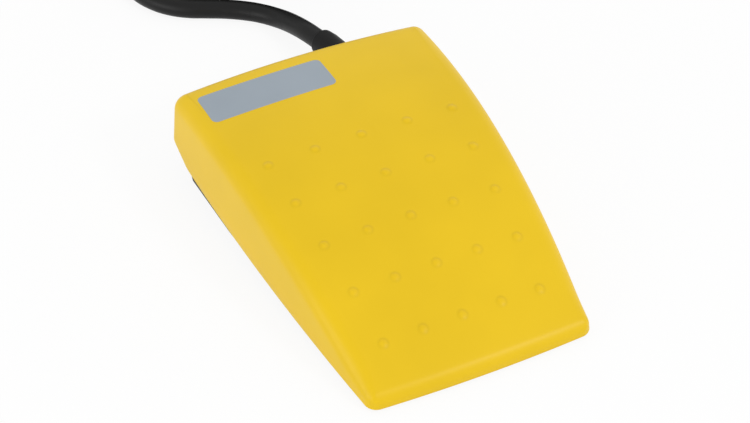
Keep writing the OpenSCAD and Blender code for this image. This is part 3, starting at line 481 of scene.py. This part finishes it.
pedal = {
    "length": 138.8, "rearWidth": 93.8, "frontWidth": 75.4, "sideBow": 2.2, "endBow": 1.0,
    "rearHeight": 23.9, "frontHeight": 4.8, "topBow": 11.2, "crownRadius": 610,
    "edgeRound": 5.2, "cornerRound": 4.2, "draft": 2.7, "wall": 2.0, "topWall": 2.7,
    "frontRound": 2.8, "frontTopWall": 2.1, "frontRun": 14,
    "skirtGap": 2.0, "skirtLift": 5.4, "skirtLiftRun": 15.6, "skirtRound": 0.6,
    "bumpRows": 5, "bumpColumns": 5, "rowPitch": 17.8, "columnPitch": 14.8, "fanShare": 0.383,
    "bumpSetback": 51.5, "bumpWidth": 3.0, "bumpHeight": 0.5,
    "bumpFoot": 0.7, "footShare": 0.16,  # the soft foot's reach, and its share of the bump's height
    # the ring of painted shade round each bump's foot: how wide it is and how much it darkens the colour
    "shadeRingWidth": 0.9, "shadeRingShare": 0.07,
    "shadeRingDepth": 0.1,  # a point this far under the top still lies on it
    "leastCorner": 0.4,
    "swing": pedalJoint["range_deg"][1],
    "lowHex": "#DFB900", "highHex": "#E7C005",
}
pedalHinge = Vector(pedalJoint["pos_m"]) / mm
frontY, rearY = -pedal["length"] / 2, pedal["length"] / 2
draftRate = math.tan(math.radians(pedal["draft"]))


def lengthShare(y):
    # 0 at the low front end, 1 at the rear
    return (y - frontY) / pedal["length"]


def halfWidth(y):
    s = lengthShare(y)
    return mix(pedal["frontWidth"], pedal["rearWidth"], s) / 2 + 4 * pedal["sideBow"] * s * (1 - s)


def topZ(x, y):
    s = lengthShare(y)
    return (pedal["skirtGap"] + mix(pedal["frontHeight"], pedal["rearHeight"], s)
            + 4 * pedal["topBow"] * s * (1 - s) - x * x / (2 * pedal["crownRadius"]))


def grown(low, high, y):
    # from its value at the low front end to the one that the rest of the shell has
    return mix(low, high, smoothStep((y - frontY) / pedal["frontRun"]))


def topRound(y):
    return grown(pedal["frontRound"], pedal["edgeRound"], y)


def topWall(y):
    return grown(pedal["frontTopWall"], pedal["topWall"], y)


def skirtZ(y):
    # the skirt's lower edge rises near the rear
    run = pedal["skirtLiftRun"]
    return pedal["skirtGap"] + pedal["skirtLift"] * max(0.0, (y - rearY + run) / run)


def toRest(point):
    # from pressed flat to the place at rest
    turn = Matrix.Rotation(math.radians(pedal["swing"]), 3, "X")
    return turn @ (Vector(point) - pedalHinge) + pedalHinge


def bumpRowY(row):
    middle = frontY + pedal["bumpSetback"]
    return middle + (row - (pedal["bumpRows"] - 1) / 2) * pedal["rowPitch"]


def bumpPitch(y):
    # distance between neighbouring columns, which grows with the pedal's width
    middle = frontY + pedal["bumpSetback"]
    return pedal["columnPitch"] * (1 + pedal["fanShare"] * (y - middle) / pedal["length"])


def bumpAway(x, y):
    # distance to the middle of the nearest bump
    row = min(max(round((y - bumpRowY(0)) / pedal["rowPitch"]), 0), pedal["bumpRows"] - 1)
    rowY = bumpRowY(row)
    pitch = bumpPitch(rowY)
    edge = (pedal["bumpColumns"] - 1) / 2
    column = min(max(round(x / pitch), -edge), edge)
    return math.hypot(x - column * pitch, y - rowY)


def bumpLift(x, y):
    # height of the nearest bump over the plain top: a dome with a small hollow foot
    away = bumpAway(x, y)
    radius, foot = pedal["bumpWidth"] / 2, pedal["bumpFoot"]
    if away >= radius + foot:
        return 0.0
    sphere = (radius ** 2 + pedal["bumpHeight"] ** 2) / (2 * pedal["bumpHeight"])
    dome = math.sqrt(max(sphere ** 2 - away ** 2, 0)) - sphere + pedal["bumpHeight"]
    soft = pedal["bumpHeight"] * pedal["footShare"] * max(0.0, 1 - abs(away - radius) / foot) ** 2
    return max(dome, 0.0) + soft


def spaced(stops, near, step, wide):
    # rising numbers from stops[0] to stops[-1]: a step apart within near of an inner stop
    # and a wide step apart elsewhere
    values = [stops[0]]
    edges = [stops[0]]
    for stop in stops[1:-1]:
        edges += [stop - near, stop + near]
    edges.append(stops[-1])
    for i in range(len(edges) - 1):
        span = edges[i + 1] - edges[i]
        size = step if i % 2 else wide
        count = max(1, math.ceil(span / size))
        values += [edges[i] + span * k / count for k in range(1, count + 1)]
    return values


def topStart(y):
    # how far inside the end at y the straight side of the flat top's edge begins
    return pedal["endBow"] + topRound(y) + draftRate * (topZ(0, y) - pedal["skirtGap"])


grid = {  # rows are spaced in mm, columns in shares of the distance between bumps
    "rowNear": 2.5, "rowStep": 0.3, "rowWide": 2.4,
    "columnNear": 0.17, "columnStep": 0.021, "columnWide": 0.16, "columnFree": 2.3, "columnEnd": 2.6,
    "cornerSteps": 8, "bowReach": 14.0, "innerAngles": (90, 67, 45, 22, 0), "outerStep": 9,
    "lipAngles": (0, 30, 60, 90), "innerSteps": 4, "outerSteps": 6,
}
rowStops = [frontY + topStart(frontY)] + [bumpRowY(i) for i in range(pedal["bumpRows"])]
rowStops.append(rearY - topStart(rearY))
columnStops = [i - (pedal["bumpColumns"] - 1) / 2 for i in range(pedal["bumpColumns"])]
columnStops = [-grid["columnEnd"]] + columnStops + [grid["columnEnd"]]
sideShares = [(y - rowStops[0]) / (rowStops[-1] - rowStops[0])
              for y in spaced(rowStops, grid["rowNear"], grid["rowStep"], grid["rowWide"])]
columns = spaced(columnStops, grid["columnNear"], grid["columnStep"], grid["columnWide"])
cornerSteps = grid["cornerSteps"]


def columnX(column, y, edge):
    # the columns fan out with the bumps, then spread to the edge
    free = grid["columnFree"]
    inner = min(abs(column), free) * bumpPitch(y)
    share = max(0.0, abs(column) - free) / (columns[-1] - free)
    return math.copysign(mix(inner, edge, share), column)


def planRing(inset, rounding, height):
    # anticlockwise from the front of the right side; height is a function of x and y
    front = frontY + pedal["endBow"] + inset(frontY)
    rear = rearY - pedal["endBow"] - inset(rearY)
    frontTurn, rearTurn = rounding(frontY), rounding(rearY)

    def reach(y):
        return halfWidth(y) - inset(y)

    def corner(y, turn, start):
        angles = [math.radians(start + 90 * k / cornerSteps) for k in range(1, cornerSteps)]
        return [(reach(y) - turn + turn * math.cos(a), y + turn * math.sin(a)) for a in angles]

    def end(y, turn, edgeY):
        # (x, y, share of the bow) across the front or the rear
        shares = [columnX(c, edgeY, reach(y)) / reach(y) for c in columns]
        return [((reach(y) - turn) * s, edgeY, 1 - s * s) for s in shares]

    side = [(reach(y), y) for y in [mix(front + frontTurn, rear - rearTurn, s) for s in sideShares]]
    rearEnd = [(x, y + pedal["endBow"] * bow) for x, y, bow in end(rear - rearTurn, rearTurn, rear)]
    frontEnd = [(x, y - pedal["endBow"] * bow)
                for x, y, bow in end(front + frontTurn, frontTurn, front)]
    rearCorner = corner(rear - rearTurn, rearTurn, 0)
    frontCorner = corner(front + frontTurn, frontTurn, -90)
    ring = side + rearCorner + rearEnd[::-1]
    ring += [(-x, y) for x, y in rearCorner[::-1]] + [(-x, y) for x, y in side[::-1]]
    ring += [(-x, y) for x, y in frontCorner[::-1]] + frontEnd + frontCorner
    return [(x, y, height(x, y)) for x, y in ring]


def formRing(extra, drop, angle):
    # ring of the shell at one angle of the top edge's rounding, 90 being the flat top
    turn = math.radians(angle)

    def inward(y):
        return (topRound(y) - extra) * (1 - math.cos(turn))

    def down(y):
        return (topRound(y) - extra) * (1 - math.sin(turn))

    def inset(y):
        return extra + inward(y) + draftRate * (topZ(0, y) - pedal["skirtGap"] - down(y))

    def corner(y):
        if topRound(y) < pedal["cornerRound"]:
            radius = (pedal["cornerRound"] - extra) * math.cos(turn) ** 2
        else:
            radius = pedal["cornerRound"] - extra - inward(y)
        return max(radius, pedal["leastCorner"] * math.cos(turn))

    return planRing(inset, corner, lambda x, y: topZ(x, y) - drop(y) - down(y))


def skirtRing(extra, lift):
    # ring of the shell that follows the skirt's lower edge
    corner = max(pedal["cornerRound"] - extra, pedal["leastCorner"])
    return planRing(lambda y: extra + draftRate * (skirtZ(y) - pedal["skirtGap"]),
                    lambda y: corner, lambda x, y: skirtZ(y) + lift)


def gridFill(ring, lift):
    # rows and columns of points inside the innermost ring, which closes the top
    rows, across = len(sideShares), len(columns)
    right = ring[:rows]
    rearEnd = ring[rows + cornerSteps - 1:rows + cornerSteps - 1 + across][::-1]
    frontStart = 2 * rows + 3 * (cornerSteps - 1) + across
    frontEnd = ring[frontStart:frontStart + across]
    points = []
    for i in range(rows):
        edge, y = right[i][0], right[i][1]
        rearPull = smoothStep(1 - (right[-1][1] - y) / grid["bowReach"])
        frontPull = smoothStep(1 - (y - right[0][1]) / grid["bowReach"])
        for j in range(across):
            x = columnX(columns[j], y, edge)
            yHere = (y + (rearEnd[j][1] - right[-1][1]) * rearPull
                     + (frontEnd[j][1] - right[0][1]) * frontPull)
            if i == 0:
                x, yHere = frontEnd[j][0], frontEnd[j][1]
            if i == rows - 1:
                x, yHere = rearEnd[j][0], rearEnd[j][1]
            if j in (0, across - 1):
                x = math.copysign(edge, columns[j])
                yHere = y
            points.append((x, yHere, topZ(x, yHere) + lift(x, yHere)))
    faces = [[i * across + j, i * across + j + 1, (i + 1) * across + j + 1, (i + 1) * across + j]
             for i in range(rows - 1) for j in range(across - 1)]
    return points, faces


def between(low, high, count):
    # the rings that lie between two others
    return [[tuple(mix(p[k], q[k], i / count) for k in range(3)) for p, q in zip(low, high)]
            for i in range(1, count)]


def pedalShell():
    # rings from the inside of the top, down round the skirt's lip and up to the outside
    edge = pedal["skirtRound"]
    innerRings = [formRing(pedal["wall"], topWall, a) for a in grid["innerAngles"]]
    innerLip, outerLip = [], []
    for turn in [math.radians(a) for a in grid["lipAngles"]]:
        inset, lift = edge * (1 - math.cos(turn)), edge * (1 - math.sin(turn))
        innerLip.append(skirtRing(pedal["wall"] - inset, lift))
        outerLip.append(skirtRing(inset, lift))
    outerLip.reverse()
    outerRings = [formRing(0, lambda y: 0, a) for a in range(0, 91, grid["outerStep"])]
    rings = innerRings + between(innerRings[-1], innerLip[0], grid["innerSteps"]) + innerLip
    rings += outerLip + between(outerLip[-1], outerRings[0], grid["outerSteps"]) + outerRings
    return [joinRings(rings), gridFill(outerRings[-1], bumpLift),
            gridFill(innerRings[0], lambda x, y: -topWall(y))]


def mouldedAbs():
    # ABS, injection moulded in a lightly spark-eroded tool: satin, with a fine even grain; the soft darker
    # ring at the foot of each bump is painted shade
    material, tree, shader, place = startMaterial("moulded yellow ABS", roughness=0.42, ior=1.53,
                                                  gleam=0.27)
    colour = addMottle(tree, shader, place, pedal["lowHex"], pedal["highHex"], sizeMm=45)
    # painted shade: the base colour is darkened in a soft ring round the foot of each bump
    ring = addNode(tree, "ShaderNodeAttribute", attribute_name="footShade").outputs["Fac"]
    shadeFactor = addNode(tree, "ShaderNodeMapRange", {"To Min": 1.0, "To Max": 1 - pedal["shadeRingShare"]},
                    {"Value": ring})
    shadedColour = addNode(tree, "ShaderNodeVectorMath", links={0: colour, 1: shadeFactor.outputs["Result"]},
                    operation="MULTIPLY")
    tree.links.new(shadedColour.outputs["Vector"], shader.inputs["Base Color"])
    addGrain(tree, shader, place, sizeMm=0.55, depthMm=0.012, roughSpread=0.05)
    return material


# Ribs, lugs, bosses, presser and hooks under the pedal's top, and the notch for the lead

inside = {
    "embed": 0.4,  # how far a part reaches into the top or the walls
    "ribThick": 1.6, "ribDeep": 2.6, "ribOffset": 13.5, "ribSteps": 24,
    "crossShares": (0.3, 0.47, 0.81), "crossSteps": 16, "draftReach": 20,
    "lugOffset": 22.5, "lugThick": 5, "lugRadius": 3.5, "boreRadius": 1.55, "lugSteps": 48,
    "springOffset": 30, "springY": 24, "bossRadius": 6.5, "bossFoot": 15.8, "bossSteps": 40,
    "spigotRadius": 2.6, "spigotLong": 4, "spigotEdge": 0.5,
    "presserY": 30, "presserZ": 23.1, "presserRadius": 1.5, "presserWidth": 6, "presserSteps": 12,
    "hookY": 42, "hookLong": 10, "hookThick": 2, "hookFoot": 3.1, "hookGap": 0.3, "hookEdge": 0.4,
    "trayInset": 3.066, "trayWall": 2,
    "notchX": 24.5, "notchZ": 9.8, "notchRadius": 6.432, "notchLong": 11.2, "notchSteps": 32,
    "notchLow": -3, "notchPast": 2,
}


def ceilingZ(x, y):
    # underside of the top
    return topZ(x, y) - pedal["topWall"]


def ribParts():
    # two ribs along the pedal and three across it, which follow the top
    deep, embed, thick = inside["ribDeep"], inside["embed"], inside["ribThick"]
    along, across = inside["ribSteps"], inside["crossSteps"]
    wallIn = pedal["wall"] + draftRate * inside["draftReach"]
    yFrom = pedalHinge.y - inside["lugRadius"]
    yTo = rearY - pedal["endBow"] - wallIn + 2 * embed
    ys = [mix(yFrom, yTo, i / along) for i in range(along + 1)]
    parts = []
    for x in (-inside["ribOffset"], inside["ribOffset"]):
        under = [(y, ceilingZ(x, y) - deep) for y in ys]
        over = [(y, ceilingZ(x, y) + embed) for y in reversed(ys)]
        parts.append(slab(under + over, x - thick / 2, x + thick / 2, "x"))
    for share in inside["crossShares"]:
        y = frontY + pedal["length"] * share
        reach = halfWidth(y) - wallIn + 2 * embed
        low = ceilingZ(0, y) - deep
        xs = [mix(reach, -reach, i / across) for i in range(across + 1)]
        outline = [(-reach, low), (reach, low)] + [(x, ceilingZ(x, y) + embed) for x in xs]
        parts.append(slab(outline, y, y + thick, "y"))
    return parts


def lugParts():
    # a plate with a round foot and the pin's bore, reaching up into the top
    parts = []
    radius, boreRadius, steps = inside["lugRadius"], inside["boreRadius"], inside["lugSteps"]
    for side in (-1, 1):
        x = side * inside["lugOffset"]
        high = ceilingZ(x, pedalHinge.y - radius) + inside["embed"] - pedalHinge.z
        outer, bore = [], []
        for k in range(steps):
            c, s = math.cos(2 * math.pi * k / steps), math.sin(2 * math.pi * k / steps)
            reach = radius if s <= 0 else min(radius / max(abs(c), 1e-6), high / s)
            outer.append((pedalHinge.y + reach * c, pedalHinge.z + reach * s))
            bore.append((pedalHinge.y + boreRadius * c, pedalHinge.z + boreRadius * s))
        low, top = x - inside["lugThick"] / 2, x + inside["lugThick"] / 2
        parts.append(joinRings([[(low, *p) for p in outer], [(top, *p) for p in outer],
                                [(top, *p) for p in bore], [(low, *p) for p in bore]], closed=True))
    return parts


def bossParts():
    # a boss with a spigot over each spring, and the presser over the switch's lever
    parts = []
    foot, radius, spigot = inside["bossFoot"], inside["bossRadius"], inside["spigotRadius"]
    tip, edge = foot - inside["spigotLong"], inside["spigotEdge"]
    for side in (-1, 1):
        place = (side * inside["springOffset"], inside["springY"])
        high = ceilingZ(*place) + inside["embed"]
        parts.append(latheZ(place, [(spigot - edge, tip), (spigot, tip + edge), (spigot, foot),
                                    (radius, foot), (radius, high)], inside["bossSteps"]))
    radius, y, z = inside["presserRadius"], inside["presserY"], inside["presserZ"]
    steps = inside["presserSteps"]
    turns = [math.pi + math.pi * k / steps for k in range(steps + 1)]
    outline = [(y + radius * math.cos(a), z + radius * math.sin(a)) for a in turns]
    high = ceilingZ(0, y) + inside["embed"]
    outline += [(y + radius, high), (y - radius, high)]
    half = inside["presserWidth"] / 2
    parts.append(slab(outline, -half, half, "x"))
    return parts


def hookParts():
    # a hook at each side that catches the tray's rim at rest
    y, z, thick = inside["hookY"] - inside["hookLong"] / 2, inside["hookFoot"], inside["hookThick"]
    edge = inside["hookEdge"]
    leg = halfWidth(y) - inside["trayInset"] - inside["trayWall"] - inside["hookGap"] - thick
    toe = leg + thick + inside["hookGap"] + inside["trayWall"]
    high = ceilingZ(leg, y) + inside["embed"] / 2
    parts = []
    for side in (-1, 1):
        outline = [(side * x, h) for x, h in (
            (leg, z), (toe - edge, z), (toe, z + edge), (toe, z + thick),
            (leg + thick, z + thick), (leg + thick, high), (leg, high))]
        parts.append(slab(outline, y, y + inside["hookLong"], "y"))
    return parts


def notchCutter():
    # round-topped slot through the rear skirt
    x, z, radius = inside["notchX"], inside["notchZ"], inside["notchRadius"]
    low, steps = inside["notchLow"], inside["notchSteps"]
    outline = [(x - radius, low), (x + radius, low)]
    outline += [(x + radius * math.cos(a), z + radius * math.sin(a))
                for a in [math.pi * k / steps for k in range(steps + 1)]]
    points, faces = slab(outline, rearY - inside["notchLong"], rearY + inside["notchPast"], "y")
    return cleanMesh("notch", [([toRest(p) for p in points], faces)])


def markFootShade(mesh):
    # each point of the top gets its share of painted shade: a soft darker ring round the foot of each bump
    turnBack = Matrix.Rotation(-math.radians(pedal["swing"]), 3, "X")
    middle, spread = pedal["bumpWidth"] / 2, pedal["shadeRingWidth"] / 2
    shadeAmount = mesh.attributes.new("footShade", "FLOAT", "POINT")
    for i, vertex in enumerate(mesh.vertices):
        x, y, z = turnBack @ (vertex.co / mm - pedalHinge) + pedalHinge
        off = (bumpAway(x, y) - middle) / spread
        onTop = z > topZ(x, y) - pedal["shadeRingDepth"]
        shadeAmount.data[i].value = math.exp(-off * off) if onTop else 0.0


def makePedal():
    shells = [([toRest(p) for p in points], faces) for points, faces in pedalShell()]
    mesh = cutMesh(cleanMesh("pedalShell", shells), [notchCutter()])
    parts = ribParts() + lugParts() + bossParts() + hookParts()
    extra = cleanMesh("pedalInside", [([toRest(p) for p in points], faces) for points, faces in parts])
    work = bmesh.new()
    work.from_mesh(mesh)
    work.from_mesh(extra)
    work.to_mesh(mesh)
    work.free()
    # painted shade round each bump's foot, stored on the mesh for the material
    markFootShade(mesh)
    piece = linkMesh("pedalShell", mesh, mouldedAbs(), "pedal", smoothAngle=40)
    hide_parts("pedal_cover")


makePedal()
print("pedal made")


# Label: a thin bare plate that lies on the top's curve

label = {
    "length": 43.9, "width": 15.6, "offset": 18, "setback": 9.9, "round": 2.0,
    "lift": 0.012, "thick": 0.09, "bevel": 0.07,
    "cornerPoints": 10, "longPoints": 24, "shortPoints": 8, "innerShares": (0.85, 0.7, 0.5, 0.3, 0.12),
    "lowHex": "#909BA5", "highHex": "#96A1AB",
}
labelX, labelY = -label["offset"], rearY - label["setback"] - label["width"] / 2


def labelRing(grow, lift):
    # rounded outline on the top's curve, anticlockwise from the right end
    halfX, halfY = label["length"] / 2 - label["round"], label["width"] / 2 - label["round"]
    radius = label["round"] + grow
    corners = [(1, 1, 0), (-1, 1, 90), (-1, -1, 180), (1, -1, 270)]

    def cornerPoint(k, turned):
        sideX, sideY, start = corners[k % 4]
        a = math.radians(start + turned)
        return (labelX + sideX * halfX + radius * math.cos(a),
                labelY + sideY * halfY + radius * math.sin(a))

    ring = []
    for k in range(4):
        steps = label["cornerPoints"]
        ring += [cornerPoint(k, 90 * i / steps) for i in range(steps + 1)]
        last, goal = ring[-1], cornerPoint(k + 1, 0)
        count = label["longPoints"] if k % 2 == 0 else label["shortPoints"]
        ring += [(mix(last[0], goal[0], i / count), mix(last[1], goal[1], i / count))
                 for i in range(1, count)]
    return [(x, y, topZ(x, y) + lift) for x, y in ring]


def labelInner(ring, share, lift):
    # the same outline drawn in towards the middle
    inner = [(mix(labelX, x, share), mix(labelY, y, share)) for x, y, z in ring]
    return [(x, y, topZ(x, y) + lift) for x, y in inner]


def printedFoil():
    # screen-printed polyester foil: flat, satin, with a faint sheen
    material, tree, shader, place = startMaterial("printed label foil", roughness=0.38, ior=1.5)
    addMottle(tree, shader, place, label["lowHex"], label["highHex"], sizeMm=25)
    addGrain(tree, shader, place, sizeMm=0.35, depthMm=0.004, roughSpread=0.04)
    return material


def makeLabel():
    low, high = label["lift"], label["lift"] + label["thick"]
    outer, edge = labelRing(0, low), labelRing(0, high - label["bevel"])
    flat = labelRing(-label["bevel"], high)
    shares = label["innerShares"]
    rings = [labelInner(outer, s, low) for s in reversed(shares)] + [outer, edge, flat]
    rings += [labelInner(flat, s, high) for s in shares]
    mesh = cleanMesh("labelPlate", [cappedRings([[toRest(p) for p in ring] for ring in rings])])
    piece = linkMesh("labelPlate", mesh, printedFoil(), "pedal", smoothAngle=35)
    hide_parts("label_plate")


makeLabel()
print("label made")


# Strain relief with flex grooves, and the sheath that runs through it to the clamp

relief = {
    "route": [(24.5, 38, 9.5), (24.5, 44, 9.5), (24.5, 50, 9.5), (24.5, 56, 9.5), (24.5, 62, 9.5),
              (24.5, 68, 9.5), (24.5, 74, 9.5), (24.4, 80, 9.5), (24, 86, 9.4), (23.2, 92, 9.1),
              (21.8, 98.5, 8.6), (20.4, 105, 8.1)],
    "from": 51, "flangeLong": 2.5, "neckLong": 4.6, "collarLong": 7, "finish": 97.2,
    # the shares are of the lead's radius
    "flangeShare": 1.62, "neckShare": 1.36, "collarShare": 1.62, "tipShare": 1.32,
    "edge": 0.35, "edgeBend": 0.3, "endRound": 1.1, "endRun": 4, "endSteps": 8, "bore": 3.68,
    "groovePitch": 3.6, "grooveCount": 5, "grooveDeep": 0.79, "groovePast": 0.15, "groovePower": 0.7,
    "grooveSteps": 12, "sides": 48, "boreSteps": 30, "sheathSides": 32, "sheathSteps": 40,
    "lowHex": "#070707", "highHex": "#0C0C0C",
}


def reliefAxis(y):
    # place and heading of the sheath where it passes y, on a smooth curve
    route = [Vector(p) for p in relief["route"]]
    k = max(i for i in range(len(route) - 1) if route[i].y <= y)
    k = min(k, len(route) - 2)
    a, b, c, d = route[max(k - 1, 0)], route[k], route[k + 1], route[min(k + 2, len(route) - 1)]
    t = (y - b.y) / (c.y - b.y)
    place = 0.5 * (2 * b + (c - a) * t + (2 * a - 5 * b + 4 * c - d) * t ** 2
                   + (3 * b - a - 3 * c + d) * t ** 3)
    slope = 0.5 * ((c - a) + 2 * (2 * a - 5 * b + 4 * c - d) * t + 3 * (3 * b - a - 3 * c + d) * t ** 2)
    return place, slope.normalized()


def reliefProfile():
    # (y, radius) from the flange over the neck, the collar and the grooves to the rounded end
    r = lead["width"] / 2
    flangeY = relief["from"]
    neckY = flangeY + relief["flangeLong"]
    collarY = neckY + relief["neckLong"]
    taperY, finish = collarY + relief["collarLong"], relief["finish"]
    flange, neck = r * relief["flangeShare"], r * relief["neckShare"]
    edge, bend = relief["edge"], relief["edge"] * relief["edgeBend"]

    def taper(y):
        share = max(0.0, (y - taperY) / (finish - taperY))
        return r * mix(relief["collarShare"], relief["tipShare"], share)

    collar = taper(collarY)
    profile = [(flangeY, flange - edge), (flangeY + bend, flange - bend), (flangeY + edge, flange),
               (neckY - edge, flange), (neckY, flange - edge), (neckY, neck), (collarY, neck),
               (collarY, collar - edge), (collarY + bend, collar - bend), (collarY + edge, collar),
               (taperY, taper(taperY))]
    third, past, steps = relief["groovePitch"] / 3, relief["groovePast"], relief["grooveSteps"]
    for k in range(relief["grooveCount"]):
        start = taperY + relief["groovePitch"] * k + third
        for s in [i / steps for i in range(steps + 1)]:
            y = start + third * ((1 + 2 * past) * s - past)
            depth = relief["grooveDeep"] * math.sin(math.pi * s) ** relief["groovePower"]
            profile.append((y, taper(y) - depth))
    endRound, steps = relief["endRound"], relief["endSteps"]
    endY = finish - endRound * relief["endRun"]
    profile.append((endY, taper(endY)))
    for turn in [math.pi / 2 * i / steps for i in range(steps + 1)]:
        profile.append((finish - endRound * (1 - math.sin(turn)),
                        taper(finish) - endRound * (1 - math.cos(turn))))
    return profile


def softRubber(name, lowHex, highHex, roughness):
    # moulded soft PVC or rubber: dark, matt, with a fine cloudy bloom
    material, tree, shader, place = startMaterial(name, roughness, ior=1.52, gleam=0.16)
    addMottle(tree, shader, place, lowHex, highHex, sizeMm=12)
    addGrain(tree, shader, place, sizeMm=0.5, depthMm=0.015, roughSpread=0.06)
    return material


def makeRelief():
    steps = relief["boreSteps"]
    back = [(mix(relief["finish"], relief["from"], i / steps), relief["bore"]) for i in range(steps + 1)]
    rings = [hoop(*reliefAxis(y), radius, relief["sides"]) for y, radius in reliefProfile() + back]
    mesh = cleanMesh("strainRelief", [joinRings(rings, closed=True)])
    look = softRubber("moulded soft PVC relief", relief["lowHex"], relief["highHex"], roughness=0.5)
    piece = linkMesh("strainRelief", mesh, look, "base", smoothAngle=40)
    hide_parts("strain_relief")
    first, last, steps = relief["route"][0][1], relief["route"][-2][1], relief["sheathSteps"]
    rings = [hoop(*reliefAxis(mix(first, last, i / steps)), lead["width"] / 2, relief["sheathSides"])
             for i in range(steps + 1)]
    mesh = cleanMesh("innerSheath", [cappedRings(rings)])
    piece = linkMesh("innerSheath", mesh, sheathLook, "base", smoothAngle=40)
    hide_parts("cable_inner")


makeRelief()
print("strain relief made")


# Springs: cold-coiled wire with closed ends

spring = {
    "width": 9, "wire": 1.0, "turns": 6, "seat": 2.8, "closeGap": 0.1, "rest": 16.468,
    "pressed": 12.7, "turnRings": 28, "wireSides": 12, "lowHex": "#8C8D90", "highHex": "#A5A6A8",
}


def springRise(turn):
    # height of the wire's middle, with the first and last turn closed
    rise, close = spring["rest"] - spring["wire"], spring["wire"] + spring["closeGap"]
    if turn < 1:
        return close * turn
    if turn > spring["turns"] - 1:
        return rise - close * (spring["turns"] - turn)
    return close + (rise - 2 * close) * (turn - 1) / (spring["turns"] - 2)


def springWire():
    # high-carbon steel wire, cold drawn: grey and bright, with fine unevenness
    material, tree, shader, place = startMaterial("drawn spring steel wire", roughness=0.3, metallic=1.0)
    addMottle(tree, shader, place, spring["lowHex"], spring["highHex"], sizeMm=3)
    addGrain(tree, shader, place, sizeMm=0.25, depthMm=0.004, roughSpread=0.08)
    return material


def makeSprings():
    material = springWire()
    radius, wireRadius = (spring["width"] - spring["wire"]) / 2, spring["wire"] / 2
    for side, name in ((-1, "spring_left"), (1, "spring_right")):
        middle = Vector((side * inside["springOffset"], inside["springY"], spring["seat"] + wireRadius))
        route = []
        for i in range(spring["turnRings"] * spring["turns"] + 1):
            turn = i / spring["turnRings"]
            a = 2 * math.pi * turn
            route.append(middle + Vector((radius * math.cos(a), radius * math.sin(a), springRise(turn))))
        rings = [hoop(p, headingAt(route, i), wireRadius, spring["wireSides"])
                 for i, p in enumerate(route)]
        mesh = cleanMesh(name + "Wire", [cappedRings(rings)])
        piece = linkMesh(name + "Wire", mesh, material, "base", smoothAngle=50)
        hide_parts(name)
        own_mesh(piece)


makeSprings()
print("springs made")


# Looks for the pieces that keep their CAD solids


def dress(material, *names):
    # gives a material to every slot of the named nodes
    for name in names:
        for slot in cadNodes[name].material_slots:
            slot.material = material


def mouldedPlastic(name, lowHex, highHex, roughness, grainMm, depthMm):
    # moulded in an eroded tool: the grain breaks up the light
    material, tree, shader, place = startMaterial(name, roughness, ior=1.53)
    addMottle(tree, shader, place, lowHex, highHex, sizeMm=20)
    addGrain(tree, shader, place, grainMm, depthMm, roughSpread=0.06)
    return material


def stampedMetal(name, lowHex, highHex, roughness, stretch):
    # rolled strip or drawn bar: fine lines along the direction it was rolled in
    material, tree, shader, place = startMaterial(name, roughness, metallic=1.0)
    addMottle(tree, shader, place, lowHex, highHex, sizeMm=4)
    addGrain(tree, shader, place, sizeMm=0.4, depthMm=0.004, roughSpread=0.08, stretch=stretch)
    return material


dress(mouldedPlastic("textured black ABS", "#1A1A1B", "#212122", roughness=0.55, grainMm=0.5,
                     depthMm=0.02), "base_tray", "cable_clamp")
dress(softRubber("moulded nitrile rubber", "#1C1C1C", "#262626", roughness=0.75),
      "foot_front_left", "foot_front_right", "foot_rear_left", "foot_rear_right")
dress(mouldedPlastic("phenolic switch moulding", "#181819", "#1E1E1F", roughness=0.42, grainMm=0.4,
                     depthMm=0.01), "switch_case", "switch_cover")
dress(stampedMetal("ground steel pin", "#A7A8AA", "#B7B8BA", roughness=0.22, stretch=(0.05, 1, 1)),
      "hinge_pin")
dress(stampedMetal("stamped stainless strip", "#A9AAAB", "#BBBBBC", roughness=0.28,
                   stretch=(1, 0.08, 1)), "lever", "lever_pivot")
dress(stampedMetal("zinc plated steel", "#A3A8AD", "#B9BDC1", roughness=0.3, stretch=(1, 1, 1)),
      "switch_screws", "clamp_screws")
dress(stampedMetal("stamped brass tab", "#B8923F", "#CBA552", roughness=0.3, stretch=(1, 0.1, 1)),
      "terminal_common", "terminal_open", "terminal_closed")
dress(stampedMetal("phosphor bronze strip", "#A8703F", "#B97F4B", roughness=0.28,
                   stretch=(1, 0.1, 1)), "contact_blade")
dress(mouldedPlastic("red acetal plunger", "#8E1B16", "#A0211B", roughness=0.35, grainMm=0.5,
                     depthMm=0.006), "plunger")
dress(mouldedPlastic("natural nylon receptacle", "#D6CFBB", "#E2DCCA", roughness=0.45, grainMm=0.6,
                     depthMm=0.012), "receptacle_common", "receptacle_open", "receptacle_closed")
for colour, lowHex, highHex in lead["cores"]:
    dress(extrudedPvc("PVC insulation " + colour.lower(), lowHex, highHex), "core_" + colour.lower())
print("CAD pieces dressed")
